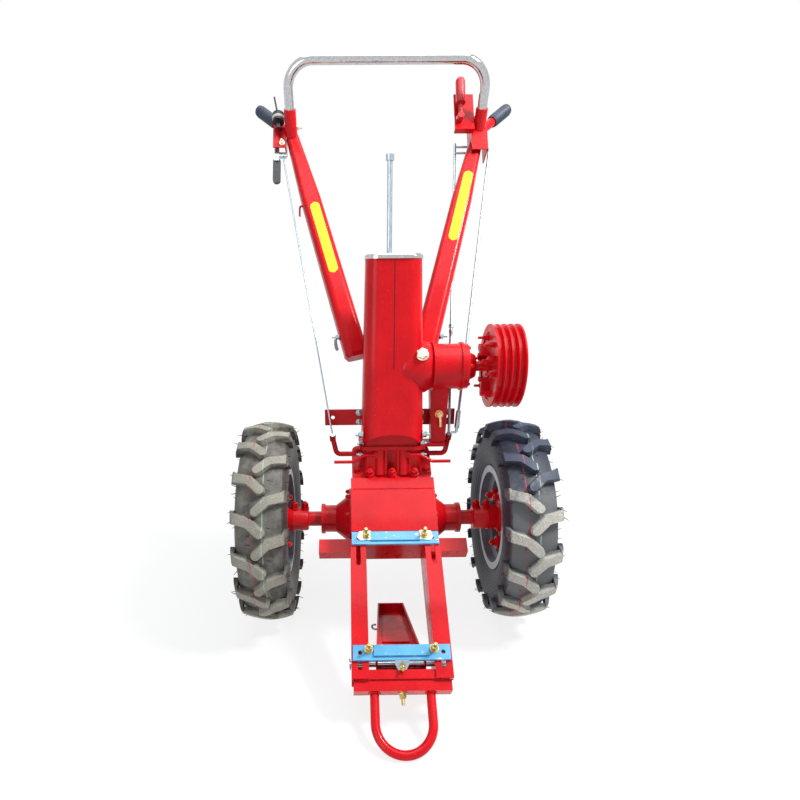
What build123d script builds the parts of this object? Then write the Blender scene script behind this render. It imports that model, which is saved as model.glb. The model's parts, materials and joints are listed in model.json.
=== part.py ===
"""A two-wheeled walking tractor without its engine, as separate solids, one STEP file each.

Forward is -Y, the operator's left is +X and up is +Z. Everything is drawn with the engine
frame level: lengths along Y are measured from the wheel axle, and heights from the ground
under the wheels, most of them as heights above the axle. With no engine on it the tractor parks nose down, on its wheels and the tip
of its nose hoop, so the finished set is turned about the axle until the hoop meets the
ground. It is then shifted along Y, so that the origin is in the middle of its footprint.
"""

import os
from math import asin, atan2, cos, degrees, hypot, pi, radians, sin

from build123d import *

# ---------------------------------------------------------------- driving dimensions
# Wheels: a 6.00-12 agricultural tyre on a 12 inch rim
track = 780.0  # between the middles of the two tyres
tyre_radius = 320.0  # over the lugs
tyre_width = 165.0
lug_height = 22.0
lug_count = 16  # on each half of the tread; the two halves are half a pitch apart
lug_width = 25.0
lug_draft = 7.0  # degrees that a lug's walls lean outwards towards its root
lug_past_middle = 6.0  # its round inner end is centred this far past the tread's middle
lug_knee_x = 26.0
lug_knee_trail = 30.0  # how far the knee and the outer end trail behind the inner end
lug_end_trail = 48.0
lug_stand_out = 7.0  # of its outer end, from the side wall
lug_foot = 62.0  # how far the outer end reaches down from the crown
tyre_wall = 11.0
shoulder_drop = 14.0  # of the tread, from its middle to its shoulders
carcass_inset = 12.0
lug_inset = 9.0
bead_radius = 152.4  # 12 inch rim seat
rim_width = 114.0  # between the rim's two flanges
rim_flange_height = 18.0
rim_sheet = 4.0
rim_well_depth = 17.0
rim_well_width = 52.0
disc_sheet = 7.0
disc_offset = 10.0  # the disc lies this far outside the tyre's middle
seat_gap = 0.3  # between the tyre's rubber and what it lies against
fit_gap = 0.1  # between rigid pieces that are pushed together
running_gap = 0.1  # radial play of a shaft in its housing

# Hubs and axle shafts
axle_shaft_radius = 24.0
hub_radius = 40.0
hub_length = 84.0
hub_flange = 14.0
hub_lobes = 5
hub_lobe_pitch_radius = 68.0
hub_lobe_radius = 21.0
wheel_bolt_radius = 6.5

# Final drive case on the axle, and the two tubes that carry the axle shafts
case_half_width = 118.0
case_wall = 16.0
case_radius = 104.0
case_cover = 16.0
case_nose_y = -128.0
plate_fold_y = 8.0
plate_rear_y = 52.0
plate_rise = 14.0
case_cover_radius = 99.0
tube_radius = 44.0
tube_end = 226.0  # outer end of the axle tubes, from the middle
tube_flare_end = 178.0
tube_collar = 12.0

# Transmission column, which leans back over the final drive
column_lean = 39.4  # degrees from the vertical
column_foot_y = 105.0  # the front face's lower end
column_foot_z = tyre_radius + 270.0
column_length = 530.0
column_foot_width = 188.0
column_top_width = 160.0
column_foot_depth = 168.0
column_top_depth = 132.0
column_wall = 4.0
column_round = 44.0  # radius of the two front edges at the foot
column_arch_rise = 26.0
branch_x = -8.0  # middle of the dome that starts the branch to the clutch
branch_radius = 74.0
branch_end_radius = 62.0
neck_setback = 42.0  # the neck below the column lies this far behind its front
neck_round = 20.0
neck_below = 200.0
neck_above = 46.0
neck_flange = 12.0
neck_flange_lip = 8.0
neck_flange_drop = 18.0  # its top lies this far below the column's foot
pillar_radius = 18.0
pillar_x = 37.0
pillar_length = 80.0
slot_half_width = 15.0
slot_depth = 46.0
ear_reach = 170.0
foot_flange_width = 250.0
foot_flange_depth = 130.0
boss_radius = 15.0
boss_pitch = 70.0
boss_rise = 12.0

# Bar across the column's back, for the mudguards
side_bar_half_length = 212.0
side_bar_height = 52.0
side_bar_sheet = 8.0
side_bar_up = 48.0  # its middle, up the column from the foot
side_bar_hole_x = 186.0
side_bar_hole_radius = 6.5
top_plate = 14.0
top_plate_round = 8.0
top_plate_overhang = 3.0
lever_x = -12.0
lever_radius = 7.5
lever_length = 268.0

# Clutch, on the operator's left of the column
clutch_y = 304.0
clutch_z = tyre_radius + 394.0
clutch_case_radius = 68.0
clutch_case_inner = 120.0
clutch_case_outer = 226.0
clutch_rib = 8.0
clutch_rib_rise = 5.0
clutch_rib_setback = 22.0  # of the outer rib, from the drum's outer end
clutch_nose = 24.0  # length of the bearing cap between the drum and the pulley
clutch_nose_root_radius = 46.0
clutch_nose_end_radius = 34.0
clutch_wall = 8.0
clutch_shaft_radius = 15.0
pulley_radius = 125.0
pulley_grooves = 4
groove_pitch = 20.0
groove_depth = 14.0
pulley_rim = 9.0
pulley_hub_radius = 36.0
pulley_web = 10.0
pulley_inner_face = 292.0
finger_count = 3
finger_plate = 9.0
finger_pitch_radius = 62.0
finger_reach = 22.0  # from the pulley's inner face towards the drum
finger_width = 16.0
finger_height = 52.0
finger_toe_reach = 30.0
finger_toe_height = 12.0
stay_top_width = 64.0
stay_foot_width = 44.0
stay_depth = 44.0
stay_x = 148.0
stay_back = 105.0  # how far its middle lies behind the column's front face

# Rear hitch: a jaw with a pin bore, on the back of the final drive
hitch_seat_y = 146.0  # the flange's rear face
hitch_pin_y = 196.0
hitch_pin_radius = 11.0
hitch_jaw_gap = 44.0
hitch_jaw = 15.0
hitch_width = 84.0
hitch_flange_width = 112.0
hitch_flange_height = 92.0
hitch_flange = 18.0  # how far it reaches in below the case's round back

# Engine frame
frame_top = tyre_radius + 142.0
rail_half_width = 132.0
rail_flange = 46.0
rail_sheet = 8.0
rail_rear_y = -150.0
rail_front_y = -548.0
rail_rear_depth = 124.0
rail_front_depth = 84.0
rail_front_slot_length = 44.0
rail_rear_slot_length = 84.0
rail_slot_width = 13.0
rear_beam_half_length = 230.0
rear_beam_y = rail_rear_y  # its front face
rear_beam_top = tyre_radius + 54.0
rear_beam_flange = 46.0
rear_beam_depth = 42.0
beam_sheet = 8.0
front_beam_y = rail_front_y + 24
front_beam_depth = 60.0
front_beam_drop = 6.0  # its top, below the rails' tops
ledge_reach = 28.0  # of the angle under the front beam, past the rails
ledge_height = 44.0
ledge_inset = 5.0  # at each end
engine_bar_length = 256.0
engine_bar_width = 40.0
engine_bar_sheet = 8.0
engine_bar_rear_y = rail_rear_y
engine_bar_front_y = rail_front_y + 64
engine_hole_radius = 5.5
ridge_inset = 13.0  # of the bar's raised middle, from the rails
ridge_rise = 6.0
ridge_width = 28.0
hoop_bar_radius = 12.0
hoop_half_width = 73.0
hoop_tip_y = -734.0
hoop_z = tyre_radius + 108.0

# Front stand
stand_pivot_y = -498.0
stand_pivot_z = tyre_radius + 92.0
stand_pin_radius = 8.0
stand_length = 405.0  # from the pin to the foot
stand_hang = 48.0  # degrees that the leg hangs below the rails
stand_top_width = 134.0
stand_foot_width = 86.0
stand_flange = 30.0
stand_sheet = 5.0
stand_heel = 16.0  # how far the leg reaches past its pin

# Handles
arm_foot_x = 108.0
arm_foot_y = 404.0
arm_foot_z = tyre_radius + 348.0
arm_tip_x = 318.0
arm_tip_y = 1118.0
arm_tip_z = tyre_radius + 672.0
arm_foot_width = 76.0
arm_foot_height = 62.0
arm_waist_share = 0.7  # the arm narrows little as far as here, then quickly
arm_waist_width = 66.0
arm_waist_height = 52.0
arm_tip_width = 42.0
arm_tip_height = 40.0
arm_round = 0.34  # corner radius as a share of the section's height
arm_wall = 1.6
arm_toe = 12.0  # the rounded-off plate that closes the arm's foot
arm_toe_draft = 32.0
seat_play = 0.3  # between the arms' feet and their seat
seat_height = 120.0
seat_depth = 110.0
seat_wall = 8.0
handle_radius = 15.0
handle_wall = 2.0
handle_bend = 46.0
grip_x = arm_tip_x + 92
grip_y = 1238.0
grip_z = tyre_radius + 687.0
grip_radius = 19.0
grip_length = 100.0
arch_radius = 16.0
arch_wall = 1.5
arch_half_width = arm_tip_x + 2
arch_top_z = tyre_radius + 900.0
arch_lean = 9.0
arch_corner = 84.0
arch_foot_y = 1116.0
arch_foot_z = tyre_radius + 702.0
socket_wall = 4.0
socket_length = 62.0

# Controls. Places on the handles are across, along and above the tip of the arm
steering_end_x = 186.0
steering_end_y = 190.0
steering_end_z = tyre_radius + 190.0
steering_bar_radius = 8.0
steering_eye_height = 20.0
steering_side_up = -60.0  # where the arms leave the neck, up the column from its foot
shift_rod_x = 180.0
shift_rod_radius = 5.0
rod_radius = 4.5
cable_radius = 2.5
rod_end_radius = 10.0
rod_end_height = 7.0
saddle_length = 127.0
saddle_along = -10.0
saddle_width = 54.0
saddle_height = 72.0
lever_sheet = 4.0
lever_plate_width = 66.0
lever_plate_length = 133.0
lever_plate_x = arm_tip_x - 53
lever_plate_along = 55.0
lever_plate_rise = 54.0
lever_step_length = 60.0  # of the upright strip between the saddle and the plate
lever_lip = 22.0
lever_pivot_along = 22.0
lever_boss_radius = 11.0
lever_boss_rise = 26.0
lever_bar_radius = 7.0
lever_bar_along = 44.0  # from the pivot to the knob
lever_bar_rise = 24.0
knob_x = arm_tip_x - 68
knob_radius = 16.0
knob_length = 88.0
clutch_rod_x = arm_tip_x - 71
clutch_rod_top = -32.0
brake_rod_x = arm_tip_x + 43
throttle_x = -arm_tip_x - 44
throttle_along = 44.0
throttle_rise = 40.0
throttle_bracket_rise = 12.0
throttle_radius = 20.0
throttle_length = 28.0
throttle_post_along = 22.0
throttle_post_radius = 7.0
throttle_head = 12.0
throttle_pointer_reach = 74.0
throttle_pointer_radius = 3.0
throttle_bracket_width = 44.0
throttle_bracket_length = 76.0
hand_lever_x = -arm_tip_x - 54
hand_lever_along = -70.0
hand_lever_length = 96.0
hand_lever_width = 26.0

# ---------------------------------------------------------------- places worked out
axle_z = tyre_radius
widest_radius = bead_radius + 0.45 * (tyre_radius - bead_radius)
# Nose down about the axle, until the hoop's tip meets the ground
hoop_middle_y = hoop_tip_y + hoop_bar_radius
hoop_reach = hypot(hoop_middle_y, hoop_z - axle_z)
hoop_rise = atan2(hoop_z - axle_z, -hoop_middle_y)
nose_down = degrees(asin((axle_z - hoop_bar_radius) / hoop_reach) + hoop_rise)
wheel_x = track / 2
lean = radians(column_lean)
column_up = Vector(0, sin(lean), cos(lean))
column_back = Vector(0, cos(lean), -sin(lean))
column_foot = Vector(0, column_foot_y, column_foot_z)
column_top = column_foot + column_up * column_length
# the clutch shaft's place, up the column
clutch_up = (Vector(0, clutch_y, clutch_z) - column_foot).dot(column_up)


def column_plane(distance, depth=0.0):
    """A plane square to the column, `distance` up its front face and `depth` behind it."""
    origin = column_foot + column_up * distance + column_back * depth
    return Plane(origin=origin, x_dir=(1, 0, 0), z_dir=column_up)


def rod(start, end, radius):
    """A round bar between two points."""
    start, end = Vector(start), Vector(end)
    plane = Plane(origin=start, z_dir=end - start)
    return extrude(plane * Circle(radius), (end - start).length)


def ring_of_revolution(points):
    """Turns a closed outline of (x, radius) points about the X axis."""
    return revolve(make_face(Polyline(*points, close=True)), Axis.X)


def tube_x(outer, inner, start, end):
    """A tube along X."""
    points = [(start, inner), (start, outer), (end, outer), (end, inner)]
    return ring_of_revolution(points)


def other_side(shape):
    """The same piece on the operator's right."""
    return mirror(shape, Plane.YZ)


def repeated(places, sketch):
    """One sketch of the same outline at several places."""
    return Sketch() + [place * sketch for place in places]


def side_plane(x):
    """The plane at x whose own x runs along +Y and whose own y runs up."""
    return Plane(origin=(x, 0, 0), x_dir=(0, 1, 0), z_dir=(1, 0, 0))


# ---------------------------------------------------------------- wheels
def tread_outline(crown, half, inset):
    """The arcs of the tread and side walls, with the shoulders `inset` from the full width."""
    bead = rim_width / 2 - seat_gap
    top = bead_radius + seat_gap + rim_flange_height
    shoulder = (half - inset, crown - shoulder_drop)
    return [
        ThreePointArc((bead, top), (half, widest_radius), shoulder),
        ThreePointArc(shoulder, (0, crown), (-shoulder[0], shoulder[1])),
        ThreePointArc((-shoulder[0], shoulder[1]), (-half, widest_radius), (-bead, top)),
    ]


def tyre_carcass():
    """The carcass under the lugs: an outer and an inner outline of arcs, turned about X."""
    half = tyre_width / 2 - lug_stand_out
    crown = tyre_radius - lug_height
    bead = rim_width / 2 - seat_gap
    bore = bead_radius + seat_gap
    top = bore + rim_flange_height
    wall = tyre_wall
    lip = (bead - wall, top)
    inner_shoulder = (half - carcass_inset - wall, crown - shoulder_drop - wall)
    outer = tread_outline(crown, half, carcass_inset) + [
        Polyline((-bead, top), (-bead, bore), (-bead + wall, bore)),
        Polyline((bead - wall, bore), (bead, bore), (bead, top)),
    ]
    inner = [
        Line((-bead + wall, bore), (-lip[0], lip[1])),
        ThreePointArc(
            (-lip[0], lip[1]), (-half + wall, widest_radius), (-inner_shoulder[0], inner_shoulder[1])
        ),
        ThreePointArc((-inner_shoulder[0], inner_shoulder[1]), (0, crown - wall), inner_shoulder),
        ThreePointArc(inner_shoulder, (half - wall, widest_radius), lip),
        Line(lip, (bead - wall, bore)),
    ]
    return revolve(make_face(Curve() + outer + inner), Axis.X)


def lug():
    """A lug of the tread's +X half, at the top of the tyre, with its inner end leading."""
    half = tyre_width / 2
    inner = (-lug_past_middle, 0)
    knee = (lug_knee_x, lug_knee_trail)
    outline = trace(Polyline(inner, knee, (half + 12, lug_end_trail)), lug_width)
    outline += Pos(*inner) * Circle(lug_width / 2)
    crown = Pos(0, 0, tyre_radius)
    block = extrude(crown * outline, -lug_height - tyre_wall, taper=-lug_draft)
    foot_start = half - 2 * lug_stand_out
    foot = Pos(foot_start, lug_end_trail) * Rectangle(30, lug_width, align=(Align.MIN, Align.CENTER))
    block += extrude(crown * foot, -lug_foot)
    closed = tread_outline(tyre_radius, half, lug_inset)
    closed += [Line(closed[2] @ 1, closed[0] @ 0)]
    return block & revolve(make_face(Curve() + closed), Axis.X)


def tyre():
    """The tyre: two rows of slanting lugs on the carcass, in a V that points down in front."""
    left_lug = lug()
    right_lug = mirror(left_lug, Plane.YZ)
    pitch = 360 / lug_count
    inner_end = degrees(lug_knee_trail / 2 / tyre_radius)
    start = 180 - nose_down + inner_end  # a lug of the left row stands on the ground
    lugs = [Rot(start + pitch * index, 0, 0) * left_lug for index in range(lug_count)]
    lugs += [Rot(start + pitch * (index + 0.5), 0, 0) * right_lug for index in range(lug_count)]
    return tyre_carcass() + lugs


def rim():
    """The rolled rim with its two flanges and its well."""
    half = rim_width / 2
    seat = bead_radius
    well = bead_radius - rim_well_depth
    flat = rim_well_width / 2
    slope = flat + 8
    sheet = rim_sheet
    points = [
        (half + sheet, seat + rim_flange_height),
        (half, seat + rim_flange_height),
        (half, seat),
        (slope, seat),
        (flat, well),
        (-flat, well),
        (-slope, seat),
        (-half, seat),
        (-half, seat + rim_flange_height),
        (-half - sheet, seat + rim_flange_height),
        (-half - sheet, seat - sheet),
        (-slope - sheet / 2, seat - sheet),
        (-flat - sheet / 2, well - sheet),
        (flat + sheet / 2, well - sheet),
        (slope + sheet / 2, seat - sheet),
        (half + sheet, seat - sheet),
    ]
    return ring_of_revolution(points)


well_bore = bead_radius - rim_well_depth - rim_sheet
hub_bolt_places = PolarLocations(hub_lobe_pitch_radius, hub_lobes)


def wheel_disc():
    """The pressed disc in the rim's well, with its five bolt holes and a raised middle."""
    inner = axle_shaft_radius + fit_gap
    start = disc_offset
    points = [
        (start, inner),
        (start, well_bore - 26),
        (start - 12, well_bore - 10),
        (start - 12, well_bore - fit_gap),
        (start - 12 + disc_sheet, well_bore - fit_gap),
        (start - 12 + disc_sheet, well_bore - 10 + 2),
        (start + disc_sheet, well_bore - 26 + 3),
        (start + disc_sheet, inner),
    ]
    disc = ring_of_revolution(points)
    holes = repeated(hub_bolt_places, Circle(wheel_bolt_radius))
    return disc - extrude(side_plane(start) * holes, disc_sheet)


def hub():
    """The cast hub: a sleeve on the axle shaft and a flange of five lobes on the disc."""
    face = disc_offset
    outline = Circle(hub_radius + 12) + repeated(hub_bolt_places, Circle(hub_lobe_radius))
    arm = Rectangle(hub_lobe_pitch_radius, hub_lobe_radius * 1.7)
    outline += repeated(PolarLocations(hub_lobe_pitch_radius / 2, hub_lobes), arm)
    outline -= repeated(hub_bolt_places, Circle(wheel_bolt_radius))
    flange = extrude(side_plane(face - hub_flange) * outline, hub_flange)
    sleeve = tube_x(hub_radius, 0, face - hub_length, face)
    bore = tube_x(axle_shaft_radius + fit_gap, 0, face - hub_length, face)
    return flange + sleeve - bore


def axle_shaft():
    """The shaft that turns with the wheel, from inside its tube to the disc."""
    start = case_half_width + case_cover + 10
    end = wheel_x + disc_offset + disc_sheet + 12
    return tube_x(axle_shaft_radius, 0, start, end)


def wheel_place(shape):
    """Moves a piece drawn about the wheel's own middle to the left wheel."""
    return Pos(wheel_x, 0, axle_z) * shape


# ---------------------------------------------------------------- final drive
def final_drive_form():
    """The outer form of the case round the differential and its neck, filled."""
    drum = tube_x(case_radius, 0, -case_half_width, case_half_width)
    neck = loft([neck_outline(-neck_below), neck_outline(neck_above)])
    nose = [
        (case_nose_y, rear_beam_top),
        (case_nose_y, frame_top),
        (plate_fold_y, frame_top + plate_rise),
        (plate_rear_y, frame_top + plate_rise),
        (plate_rear_y, axle_z),
        (-case_radius / 2, axle_z),
        (-case_radius / 2, rear_beam_top),
    ]
    front = side_plane(-case_half_width) * make_face(Polyline(*nose, close=True))
    case = Pos(0, 0, axle_z) * drum + extrude(front, 2 * case_half_width) + neck
    return case + neck_flanges() + neck_pillars() - neck_slot()


def final_drive_case():
    """The cast case, hollow round the axle and up its neck."""
    half = case_half_width - case_wall
    drum = tube_x(case_radius - case_wall, 0, -half, half)
    wall = slot_depth / 2 + case_wall / 2
    shaft_room = loft([neck_outline(-neck_below, wall), neck_outline(neck_above - case_wall, wall)])
    return final_drive_form() - Pos(0, 0, axle_z) * drum - shaft_room


def neck_flanges():
    """The flange under the column, with the clutch's ear, and the bolted one at the foot."""
    drop = -neck_flange_drop - neck_flange
    width = column_width(drop) + 2 * neck_flange_lip
    depth = column_depth(drop) - neck_setback + 2 * neck_flange_lip
    top = RectangleRounded(width, depth, neck_round)
    ear_depth = stay_depth + 2 * neck_flange_lip
    ear = Pos(width / 2, 0) * Rectangle(2 * ear_reach - width, ear_depth)
    place = column_plane(drop, column_depth(drop) / 2 + neck_setback / 2)
    flange = extrude(place * top, neck_flange)
    flange += extrude(column_plane(drop, stay_back) * ear, neck_flange)
    foot_y = plate_rear_y + foot_flange_depth / 2
    foot = RectangleRounded(foot_flange_width, foot_flange_depth, neck_round)
    foot_z = frame_top + plate_rise - neck_flange
    flange += extrude(Pos(0, foot_y, foot_z) * foot, neck_flange)
    boss = Circle(boss_radius)
    row = [Pos(boss_pitch * step, plate_rear_y + boss_radius, foot_z) for step in (-1, 0, 1)]
    return flange + [extrude(place * boss, neck_flange + boss_rise) for place in row]


def neck_pillars():
    """The two round ribs down the neck's front, one each side of its slot."""
    place = column_plane(-neck_flange_drop - neck_flange, neck_setback + pillar_radius / 2)
    round_rib = Circle(pillar_radius)
    return [extrude(place * Pos(side * pillar_x, 0) * round_rib, -pillar_length) for side in (-1, 1)]


def neck_slot():
    """The slot between the pillars, where the shift forks move."""
    place = column_plane(-neck_flange_drop - neck_flange, neck_setback)
    return extrude(place * Rectangle(2 * slot_half_width, slot_depth), -pillar_length)


def rear_hitch():
    """The jaw for a trailer's drawbar, bolted to the back of the final drive."""
    flange = Pos(0, hitch_seat_y, axle_z) * Box(
        hitch_flange_width,
        hitch_seat_y - case_radius + hitch_flange,
        hitch_flange_height,
        align=(Align.CENTER, Align.MAX, Align.CENTER),
    )
    jaw = Pos(0, hitch_seat_y) * Rectangle(
        hitch_width, hitch_pin_y - hitch_seat_y, align=(Align.CENTER, Align.MIN)
    )
    jaw += Pos(0, hitch_pin_y) * Circle(hitch_width / 2)
    behind_seat = Rectangle(2 * hitch_width, hitch_width, align=(Align.CENTER, Align.MAX))
    jaw -= Pos(0, hitch_seat_y) * behind_seat
    jaw -= Pos(0, hitch_pin_y) * Circle(hitch_pin_radius)
    upper = extrude(Pos(0, 0, axle_z + hitch_jaw_gap / 2) * jaw, hitch_jaw)
    lower = extrude(Pos(0, 0, axle_z - hitch_jaw_gap / 2) * jaw, -hitch_jaw)
    return flange + upper + lower - final_drive_form()


def axle_tube():
    """One side cover with its flare and the tube that the axle shaft runs in."""
    start = case_half_width
    flare = start + case_cover
    bore = axle_shaft_radius + running_gap
    points = [
        (start, bore),
        (start, case_cover_radius),
        (flare, case_cover_radius),
        (flare, case_cover_radius - 20),
        (tube_flare_end, tube_radius),
        (tube_end - tube_collar, tube_radius),
        (tube_end - tube_collar, tube_radius + 5),
        (tube_end, tube_radius + 5),
        (tube_end, bore),
    ]
    return Pos(0, 0, axle_z) * ring_of_revolution(points)


# ---------------------------------------------------------------- column
def column_width(distance):
    """Width of the column at a distance up its front face."""
    return column_foot_width + (column_top_width - column_foot_width) * distance / column_length


def column_depth(distance):
    """Depth of the column at a distance up its front face."""
    return column_foot_depth + (column_top_depth - column_foot_depth) * distance / column_length


def neck_outline(distance, wall=0.0):
    """A section of the casting that stands up into the column, well behind its front."""
    inset = column_wall + seat_gap + wall
    width = column_width(distance) - 2 * inset
    depth = column_depth(distance) - neck_setback - inset - wall
    outline = Pos(0, neck_setback + wall + depth / 2) * Rectangle(width, depth)
    front = outline.vertices().sort_by(Axis.Y)[:2]
    return column_plane_front(distance) * fillet(front, neck_round)


def column_outline(width, depth, front_round):
    """One section of the column: its front edges are well rounded, its back is square."""
    outline = Pos(0, depth / 2) * Rectangle(width, depth)
    front = outline.vertices().sort_by(Axis.Y)[:2]
    return fillet(front, front_round)


def column_solid():
    """The column's outer form, filled."""
    outer_foot = column_outline(column_foot_width, column_foot_depth, column_round)
    outer_top = column_outline(column_top_width, column_top_depth, column_round * 0.85)
    foot, top = column_plane_front(0), column_plane_front(column_length)
    return loft([foot * outer_foot, top * outer_top])


def branch_form(wall=0.0):
    """The branch to the clutch case, filled: a dome in the column that runs out in a cone."""
    dome = branch_radius - wall
    tip = (clutch_case_inner - branch_x, branch_end_radius - wall)
    start = ThreePointArc((-dome, 0), (-dome * cos(pi / 4), dome * sin(pi / 4)), (0, dome))
    rest = Polyline((0, dome), tip, (tip[0], 0), (-dome, 0))
    return Pos(branch_x, clutch_y, clutch_z) * revolve(make_face(start + rest), Axis.X)


def column_form():
    """The column with its branch, filled."""
    return column_solid() + branch_form()


def column_shell():
    """The leaning column and its branch, thin-walled and open below, with an arched front."""
    wall = column_wall
    inner_foot = Pos(0, wall) * column_outline(
        column_foot_width - 2 * wall, column_foot_depth - 2 * wall, column_round - wall
    )
    inner_top = Pos(0, wall) * column_outline(
        column_top_width - 2 * wall, column_top_depth - 2 * wall, column_round * 0.85 - wall
    )
    foot, top = column_plane_front(0), column_plane_front(column_length)
    hollow = loft([foot * inner_foot, top * inner_top]) + branch_form(clutch_wall)
    arch_plane = Plane(
        origin=column_foot - column_back * 10, x_dir=(1, 0, 0), z_dir=column_back
    )
    arch = arch_plane * Ellipse(column_foot_width / 2 - 18, column_arch_rise)
    return column_form() - hollow - extrude(arch, column_foot_depth / 2)


def column_plane_front(distance):
    """The plane of a column section: local Y points from the front face to the back."""
    plane = column_plane(distance)
    return Plane(origin=plane.origin, x_dir=(1, 0, 0), z_dir=column_up)


def column_top_plate():
    """The bright plate that closes the column."""
    outline = column_outline(
        column_top_width + 2 * top_plate_overhang,
        column_top_depth + 2 * top_plate_overhang,
        column_round,
    )
    plane = column_plane_front(column_length)
    plate = extrude(plane * (Pos(0, -top_plate_overhang) * outline), top_plate)
    upper = plate.faces().sort_by(Axis(plane.origin, column_up))[-1]
    return fillet(upper.edges(), top_plate_round) - gear_lever_rod(fit_gap)


lever_foot = column_top + column_back * (column_top_depth * 0.48) + Vector(lever_x, 0, 0)


def gear_lever_rod(gap=0.0):
    """The gear lever's rod, from just under the top plate."""
    start = lever_foot - column_up * 20
    end = lever_foot + column_up * lever_length
    return rod(start, end, lever_radius + gap)


def gear_lever():
    """The gear lever with its boss and its end nut."""
    end = lever_foot + column_up * lever_length
    nut = rod(end - column_up * 10, end + column_up * 6, lever_radius + 4)
    return gear_lever_rod() + nut


def handle_seat():
    """The bracket on the column's back: two cheeks for the arms' feet and a wall behind."""
    half = arm_foot_x - arm_foot_width / 2 - seat_play
    block = Box(2 * half, seat_depth, seat_height)
    block -= Pos(0, -seat_wall, 0) * Box(2 * (half - seat_wall), seat_depth, seat_height)
    return Pos(0, arm_foot_y, arm_foot_z) * Rot(-column_lean, 0, 0) * block - column_form()


def side_bar_plane():
    """The plane of the column's back where the bar lies: x across, z straight backwards."""
    taper = (column_foot_depth - column_top_depth) / column_length
    seat = column_plane(side_bar_up, column_depth(side_bar_up)).origin
    return Plane(origin=seat, x_dir=(1, 0, 0), z_dir=column_back + column_up * taper)


def side_bar():
    """The flat bar bolted across the column's back, with a hole near each end."""
    bar = Rectangle(2 * side_bar_half_length, side_bar_height) - repeated(
        [Pos(side * side_bar_hole_x, 0) for side in (-1, 1)], Circle(side_bar_hole_radius)
    )
    return extrude(side_bar_plane() * bar, side_bar_sheet) - column_form()


# ---------------------------------------------------------------- clutch
def clutch_case():
    """The drum on the column's branch, with its two ribs, its bearing cap and the shaft."""
    start, end = clutch_case_inner, clutch_case_outer
    wall = clutch_wall
    drum = tube_x(clutch_case_radius, 0, start, end)
    drum -= tube_x(clutch_case_radius - wall, 0, start + wall, end - wall)
    rib_radius = clutch_case_radius + clutch_rib_rise
    ribs = [
        tube_x(rib_radius, clutch_case_radius - wall / 2, place, place + clutch_rib)
        for place in (start, end - clutch_rib_setback)
    ]
    cap = [
        (end, 0),
        (end, clutch_nose_root_radius),
        (end + clutch_nose, clutch_nose_end_radius),
        (end + clutch_nose, 0),
    ]
    shaft = tube_x(clutch_shaft_radius, 0, end, pulley_inner_face + pulley_width + 10)
    solid = drum + ribs + ring_of_revolution(cap) + shaft
    return Pos(0, clutch_y, clutch_z) * solid + clutch_stay() - column_form()


def clutch_stay():
    """The tapered leg of the clutch casting, which stands on the ear of the neck's flange."""
    foot = column_plane(-neck_flange_drop, stay_back) * Pos(stay_x, 0)
    head = column_plane(clutch_up, stay_back) * Pos(stay_x, 0)
    leg = loft(
        [
            foot * Rectangle(stay_foot_width, stay_depth),
            head * Rectangle(stay_top_width, stay_depth),
        ]
    )
    drum = tube_x(clutch_case_radius - clutch_wall, 0, clutch_case_inner, clutch_case_outer)
    return leg - Pos(0, clutch_y, clutch_z) * drum


pulley_width = pulley_grooves * groove_pitch + 6


def clutch_pulley():
    """The belt pulley: four V grooves in a rim on a web, with its hub on the clutch shaft."""
    width = pulley_width
    inner = pulley_radius - groove_depth - pulley_rim
    outline = [(0, inner), (0, pulley_radius)]
    for index in range(pulley_grooves):
        middle = 3 + groove_pitch * (index + 0.5)
        outline += [
            (middle - 8, pulley_radius),
            (middle - 3.5, pulley_radius - groove_depth),
            (middle + 3.5, pulley_radius - groove_depth),
            (middle + 8, pulley_radius),
        ]
    outline += [(width, pulley_radius), (width, inner)]
    bore = clutch_shaft_radius + running_gap
    web = width * 0.55
    outline += [
        (web + pulley_web, inner),
        (web + pulley_web, pulley_hub_radius),
        (width - 4, pulley_hub_radius),
        (width - 4, bore),
        (8, bore),
        (8, pulley_hub_radius),
        (web, pulley_hub_radius),
        (web, inner),
    ]
    return Pos(pulley_inner_face, clutch_y, clutch_z) * ring_of_revolution(outline)


def clutch_fingers():
    """The pressure plate on the pulley's inner face, with three release fingers."""
    inner = pulley_radius - groove_depth - pulley_rim
    plate = tube_x(inner - fit_gap, pulley_hub_radius + fit_gap, 0, finger_plate)
    finger = Box(finger_reach, finger_width, finger_height)
    toe_place = Pos(
        (finger_reach - finger_toe_reach) / 2, 0, (finger_toe_height - finger_height) / 2
    )
    finger += toe_place * Box(finger_toe_reach, finger_width, finger_toe_height)
    place = Pos(-finger_reach / 2, 0, finger_pitch_radius)
    turns = [360 / finger_count * index + 30 for index in range(finger_count)]
    solid = plate + [Rot(turn, 0, 0) * place * finger for turn in turns]
    return Pos(pulley_inner_face + 4, clutch_y, clutch_z) * solid


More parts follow.
